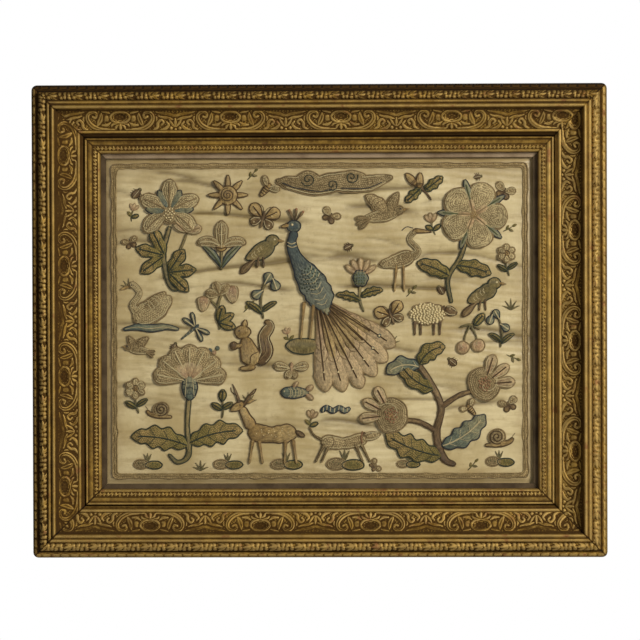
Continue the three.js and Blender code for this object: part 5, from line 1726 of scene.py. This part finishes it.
def small_moth():
    return [
        *[blade("lace", 0, 0.6, turn, 9, 6, full=0.64) for turn in (-64, 64)],
        *[blade("brown", 0, 0, turn, 6.4, 4.6, full=0.62) for turn in (-132, 132)],
        limb("brown", [[0, 3.4, 1.4], [0, 0, 2], [0, -4, 1.4]]),
    ]


def berries():
    return [
        limb("olive", [[-1, -8, 1.2], [0, -1, 1.5], [3.4, 4, 1.2]]),
        limb("olive", [[0, -2, 1.2], [-3.4, 3, 1.2]]),
        *[disc(thread, x, z, 2.5, 2.5)
          for thread, x, z in [["teal", 4, 5], ["navy", -4, 4], ["salmon", 0, 1]]],
    ]


def twig():
    return [
        limb("olive", [[-5, -5, 1.1], [-1, -1, 1.4], [4, 5, 1]]),
        blade("leaf", -2, -2, 6, 6.4, 3.4),
        blade("olive", 0, 0, 96, 6.4, 3.2),
        blade("leaf", 3, 4, 44, 6, 3.2),
    ]


# Where each small motif is stitched: motif, x, z, turn clockwise, size
SPRIGS = [
    [beetle, -168, 118, 40, 1.1], [small_moth, -174, 72, -20, 0.9], [tuft, -176, 34, 0, 0.8],
    [small_moth, 10, 96, 30, 1.1], [beetle, 27, 68, 65, 0.9], [bud, 104, 88, -10, 1.1],
    [small_moth, 170, 118, 24, 1.2], [twig, 174, 84, 20, 0.8], [tuft, 176, 14, 0, 0.9],
    [tuft, 66, -18, 0, 0.9], [beetle, 122, -38, -50, 1], [twig, 177, -34, 70, 0.8],
    [small_moth, 174, -78, -20, 1.1], [hillock, 166, -130, 0, 1], [hillock, 82, -132, 0, 0.8],
    [hillock, 24, -132, 0, 1.3], [hillock, -30, -132, 0, 1.1], [hillock, -84, -132, 0, 1],
    [hillock, -158, -132, 0, 1], [bud, -8, -92, 10, 1], [tuft, -66, -72, 0, 0.9],
    [beetle, -134, -24, 20, 0.9], [berries, -97, -30, -10, 0.9], [twig, -66, 12, 0, 0.8],
    [twig, -62, 134, 0, 0.8], [beetle, 112, 28, -30, 0.9], [twig, 84, 26, 0, 0.8],
    [bud, -29, -14, -16, 0.8], [small_moth, 50, -134, 60, 0.8], [twig, 140, -134, 0, 0.8],
    [tuft, -110, -134, 0, 0.8], [beetle, 146, 132, 80, 0.8], [bud, -172, 100, 14, 0.9],
]

# Where each slip is sewn: node, motif, x, z, turn clockwise, size, mirrored
SLIPS = [
    ["peacock", peacock, -8, 36, 0, 1.02, 1], ["columbine", columbine, -140, 36, 0, 1.12, 1],
    ["rose", rose, 142, 97, 22, 1.12, 1], ["carnation", carnation, -121, -130, 0, 1.24, 1],
    ["pomegranate", pomegranate, 114, -131, 0, 1.1, -1], ["cloud", cloud, 12, 126, 0, 1, 1],
    ["sun", sun, -84, 116, 0, 1.1, 1], ["stag", stag, -45, -106, 0, 1.12, 1],
    ["hound", hound, 20, -114, 0, 1.1, -1], ["squirrel", squirrel, -64, -24, 0, 1.15, 1],
    ["sheep", sheep, 102, 4, 0, 1.1, -1], ["swan", swan, -157, 9, 0, 1.1, 1],
    ["heron", heron, 77, 54, 0, 1.15, -1], ["dove", dove, 60, 96, -10, 1, -1],
    ["dove_small", dove, -168, -27, 8, 0.62, 1], ["finch", finch, -52, 64, 0, 1, -1],
    ["finch_small", finch, 152, 24, 0, 1, -1], ["thistle", thistle, 37, 32, 0, 1, 1],
    ["strawberry", strawberry, -92, 14, 0, 1.1, 1], ["acorns", acorns, 94, 122, 20, 0.9, -1],
    ["bellflower", bellflower, -54, 24, 0, 1.1, 1], ["bellflower_small", bellflower, 168, -7, 0, 0.9, -1],
    ["daisy", daisy, -170, -66, 0, 1, 1], ["daisy_right", daisy, 172, 58, 0, 0.9, 1],
    ["cherries", cherries, 139, -16, 0, 1, 1], ["fleur", fleur, -90, 71, 0, 1, 1],
    ["butterfly", butterfly, -52, 94, 14, 0.95, 1], ["butterfly_low", butterfly, 66, 4, -20, 0.9, 1],
    ["moth", moth, -26, -44, 0, 0.85, 1], ["bee", bee, -49, 121, 40, 1, 1],
    ["bee_low", bee, 139, -82, -40, 0.8, 1], ["dragonfly", dragonfly, -117, -8, 50, 0.85, 1],
    ["grub", grub, 14, -82, 0, 1, 1], ["snail", snail, -147, -82, 0, 0.9, 1],
    ["snail_right", snail, 164, -108, 0, 1, -1], ["fish", fish, -22, -66, 0, 1, 1],
    ["leaf_sprig", leaf_sprig, -90, -78, 0, 0.95, 1],
]


def work(slip, motif):
    """Adds the parts, lines and knots of a motif to a slip, in their order."""
    for part in motif():
        if isinstance(part, dict):
            slip.add(part)
        elif part[0] == "lay":
            slip.lay(*part[1:])
        else:
            slip.knot(*part[1:])


def make_slips():
    for name, motif, x, z, turn, size, mirror in SLIPS:
        slip = Slip(name, x, z, turn, size, mirror)
        work(slip, motif)
        slip.piece.made([name], "silk_slip", WORK_SHARP)


def make_sprigs():
    """The flat stitched motifs, as one piece. They stand for no solid."""
    piece = Piece("stitched_sprigs")
    for motif, x, z, turn, size in SPRIGS:
        work(Slip("sprig", x, z, turn, size, 1, piece), motif)
    piece.made(None, "silk_slip", WORK_SHARP)


# The border's cords: how far inside the braid's outer edge, radius, colour
BRAID_CORDS = [[-0.7, 0.4, "cord_tan"], [1.8, 0.5, "cord_braid"], [3.6, 0.4, "cord_braid"]]
# The lace strip's section: how far inside that edge, and height over the satin
BRAID_STRIP = [[-0.9, 0.15], [0.2, 0.4], [1.4, 0.5], [2.8, 0.4], [4, 0.15], [4, -0.3], [-0.9, -0.3]]
BRAID_CORNER = 2.4
BRAID_COUNT = 640


def make_braid():
    """Three couched cords round the field on a strip of lace, all a little uneven."""
    draw = np.random.default_rng(5)

    def loop(inset, spacing=2.6):
        half_x, half_z = HALF_X - BRAID_OUTER - inset, HALF_Z - BRAID_OUTER - inset
        quarter = np.linspace(0, math.pi / 2, 5)
        arcs = []
        for k, (sx, sz) in enumerate([(1, 1), (-1, 1), (-1, -1), (1, -1)]):
            angle = quarter + k * math.pi / 2
            arcs.append(np.stack([sx * (half_x - BRAID_CORNER) + BRAID_CORNER * np.cos(angle),
                                  sz * (half_z - BRAID_CORNER) + BRAID_CORNER * np.sin(angle)], axis=1))
        return even(np.concatenate(arcs), spacing, True)

    def lifted(line_points, up):
        return np.stack([line_points[:, 0], silk_height(line_points[:, 0], line_points[:, 1]) + up,
                         line_points[:, 1]], axis=1)

    piece = Piece("braid_couched")
    bell = np.array([1, 2, 1]) / 4
    for inset, radius, cord in BRAID_CORDS:
        path = loop(inset)
        path = path + 0.5 * draw.normal(0, 1, path.shape)
        wrapped = np.pad(path, ((1, 1), (0, 0)), mode="wrap")
        soft = np.stack([np.convolve(wrapped[:, k], bell, mode="valid") for k in range(2)], axis=1)
        tube(piece, lifted(soft, 0.5 + radius * 0.5), radius, cord, 6, True)
    insets, rises = np.array(BRAID_STRIP, float).T
    at = np.linspace(0, 1, BRAID_COUNT, endpoint=False)
    strips = []
    for inset, rise in zip(insets, rises):
        ring_line = even(loop(inset, 1.0), 1.0, True)
        share = np.arange(len(ring_line) + 1) / len(ring_line)
        joined = np.vstack([ring_line, ring_line[:1]])
        spread = np.stack([np.interp(at, share, joined[:, k]) for k in range(2)], axis=1)
        strips.append(lifted(spread, rise))
    points = np.stack(strips, axis=1)
    faces, corners = grid(BRAID_COUNT + 1, len(insets), True)
    faces = faces % (BRAID_COUNT * len(insets))
    uv = np.stack([insets[corners[..., 1] % len(insets)], corners[..., 0] * 2.2], axis=-1)
    rim = np.broadcast_to(insets + 4, (BRAID_COUNT, len(insets)))
    blocks = [(faces[:, ::-1], uv[:, ::-1], "braid_lace")]
    piece.add(points.reshape(-1, 3), blocks, Rim=rim.ravel(), Along=0.5)
    piece.made(["braid_border"], "braid", WORK_SHARP)


def dress_plain_parts():
    """The fillets and the backboard keep their solids' shapes. The left, right and bottom fillets are darker
    paper, as a painted shadow of the sight moulding.
    """
    looks = {"fillet_top": "fillet_paper", "fillet_left": "fillet_painted_shadow", "fillet_right": "fillet_painted_shadow",
             "fillet_bottom": "fillet_painted_shadow", "backboard": "board_wood"}
    for name, look in looks.items():
        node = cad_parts[name]
        node.data.materials.clear()
        node.data.materials.append(FINISHES[look])


# Camera, light and floor

FLOOR_HALF = 1500
FLOOR_LEVEL = -1200


def make_camera():
    """Straight on from the front, a little above and to the right, with a long lens."""
    data = bpy.data.cameras.new("camera")
    data.sensor_width = 36
    data.lens = 148.6
    data.clip_end = 20
    camera = bpy.data.objects.new("camera", data)
    camera.location = (0.0451, -2.441, 0.0279)
    camera.rotation_euler = (math.radians(90 - 0.64), 0.003, math.radians(1.05))
    bpy.context.scene.collection.objects.link(camera)
    bpy.context.scene.camera = camera


def area_light(name, place, aim, size, power, colour):
    """A flat lamp at `place`, turned to `aim`, in metres."""
    light = bpy.data.lights.new(name, "AREA")
    light.shape = "RECTANGLE"
    light.size, light.size_y = size
    light.energy = power
    light.color = colour
    lamp = bpy.data.objects.new(name, light)
    lamp.location = place
    way = mathutils.Vector(aim) - mathutils.Vector(place)
    lamp.rotation_euler = way.to_track_quat("-Z", "Y").to_euler()
    bpy.context.scene.collection.objects.link(lamp)


def make_studio():
    """White seen by the camera. For light, a soft grey in front, one broad lamp from the right front, a
    little above, a weak one from the left, and one behind that lights the back alone."""
    world = bpy.data.worlds.new("studio")
    bpy.context.scene.world = world
    world.use_nodes = True
    world.node_tree.nodes.clear()
    t = Tree(world.node_tree)
    seen = t.add("LightPath", out="Is Camera Ray")
    up = t.add("SeparateXYZ", {0: t.place("Generated")}, out=1)
    dim = t.span(up, -0.2, -1.0, 0.015, 0.15)
    sky = t.add("Background", {"Color": (1.0, 0.97, 0.92, 1.0), "Strength": dim})
    white = t.add("Background", {"Color": (1.0, 1.0, 1.0, 1.0), "Strength": 1.0})
    both = t.add("MixShader", {0: seen, 1: sky, 2: white})
    t.add("OutputWorld", {"Surface": both})
    area_light("key", (1.5, -1.9, 0.75), (0.1, 0.0, 0.0), (0.8, 0.8), 53, (1.0, 0.96, 0.87))
    area_light("fill", (-0.9, -2.3, 0.1), (0.0, 0.0, 0.0), (1.8, 1.8), 6, (1.0, 0.98, 0.94))
    area_light("behind", (-0.8, 2.3, 0.7), (0.0, 0.0, 0.0), (1.4, 1.4), 34, (1.0, 0.98, 0.94))
    floor = Piece("floor")
    corners = FLOOR_HALF * np.array([[-1, 1], [1, 1], [1, -1], [-1, -1]], float)
    floor.add(np.insert(corners, 2, FLOOR_LEVEL, axis=1), [(np.arange(4)[None, :], np.zeros(2), "floor")])
    floor.made()


bpy.context.scene.view_settings.view_transform = "Standard"
make_camera()
make_effects()
make_finishes()
make_frame()
make_satin()
make_braid()
make_slips()
make_sprigs()
dress_plain_parts()
make_studio()
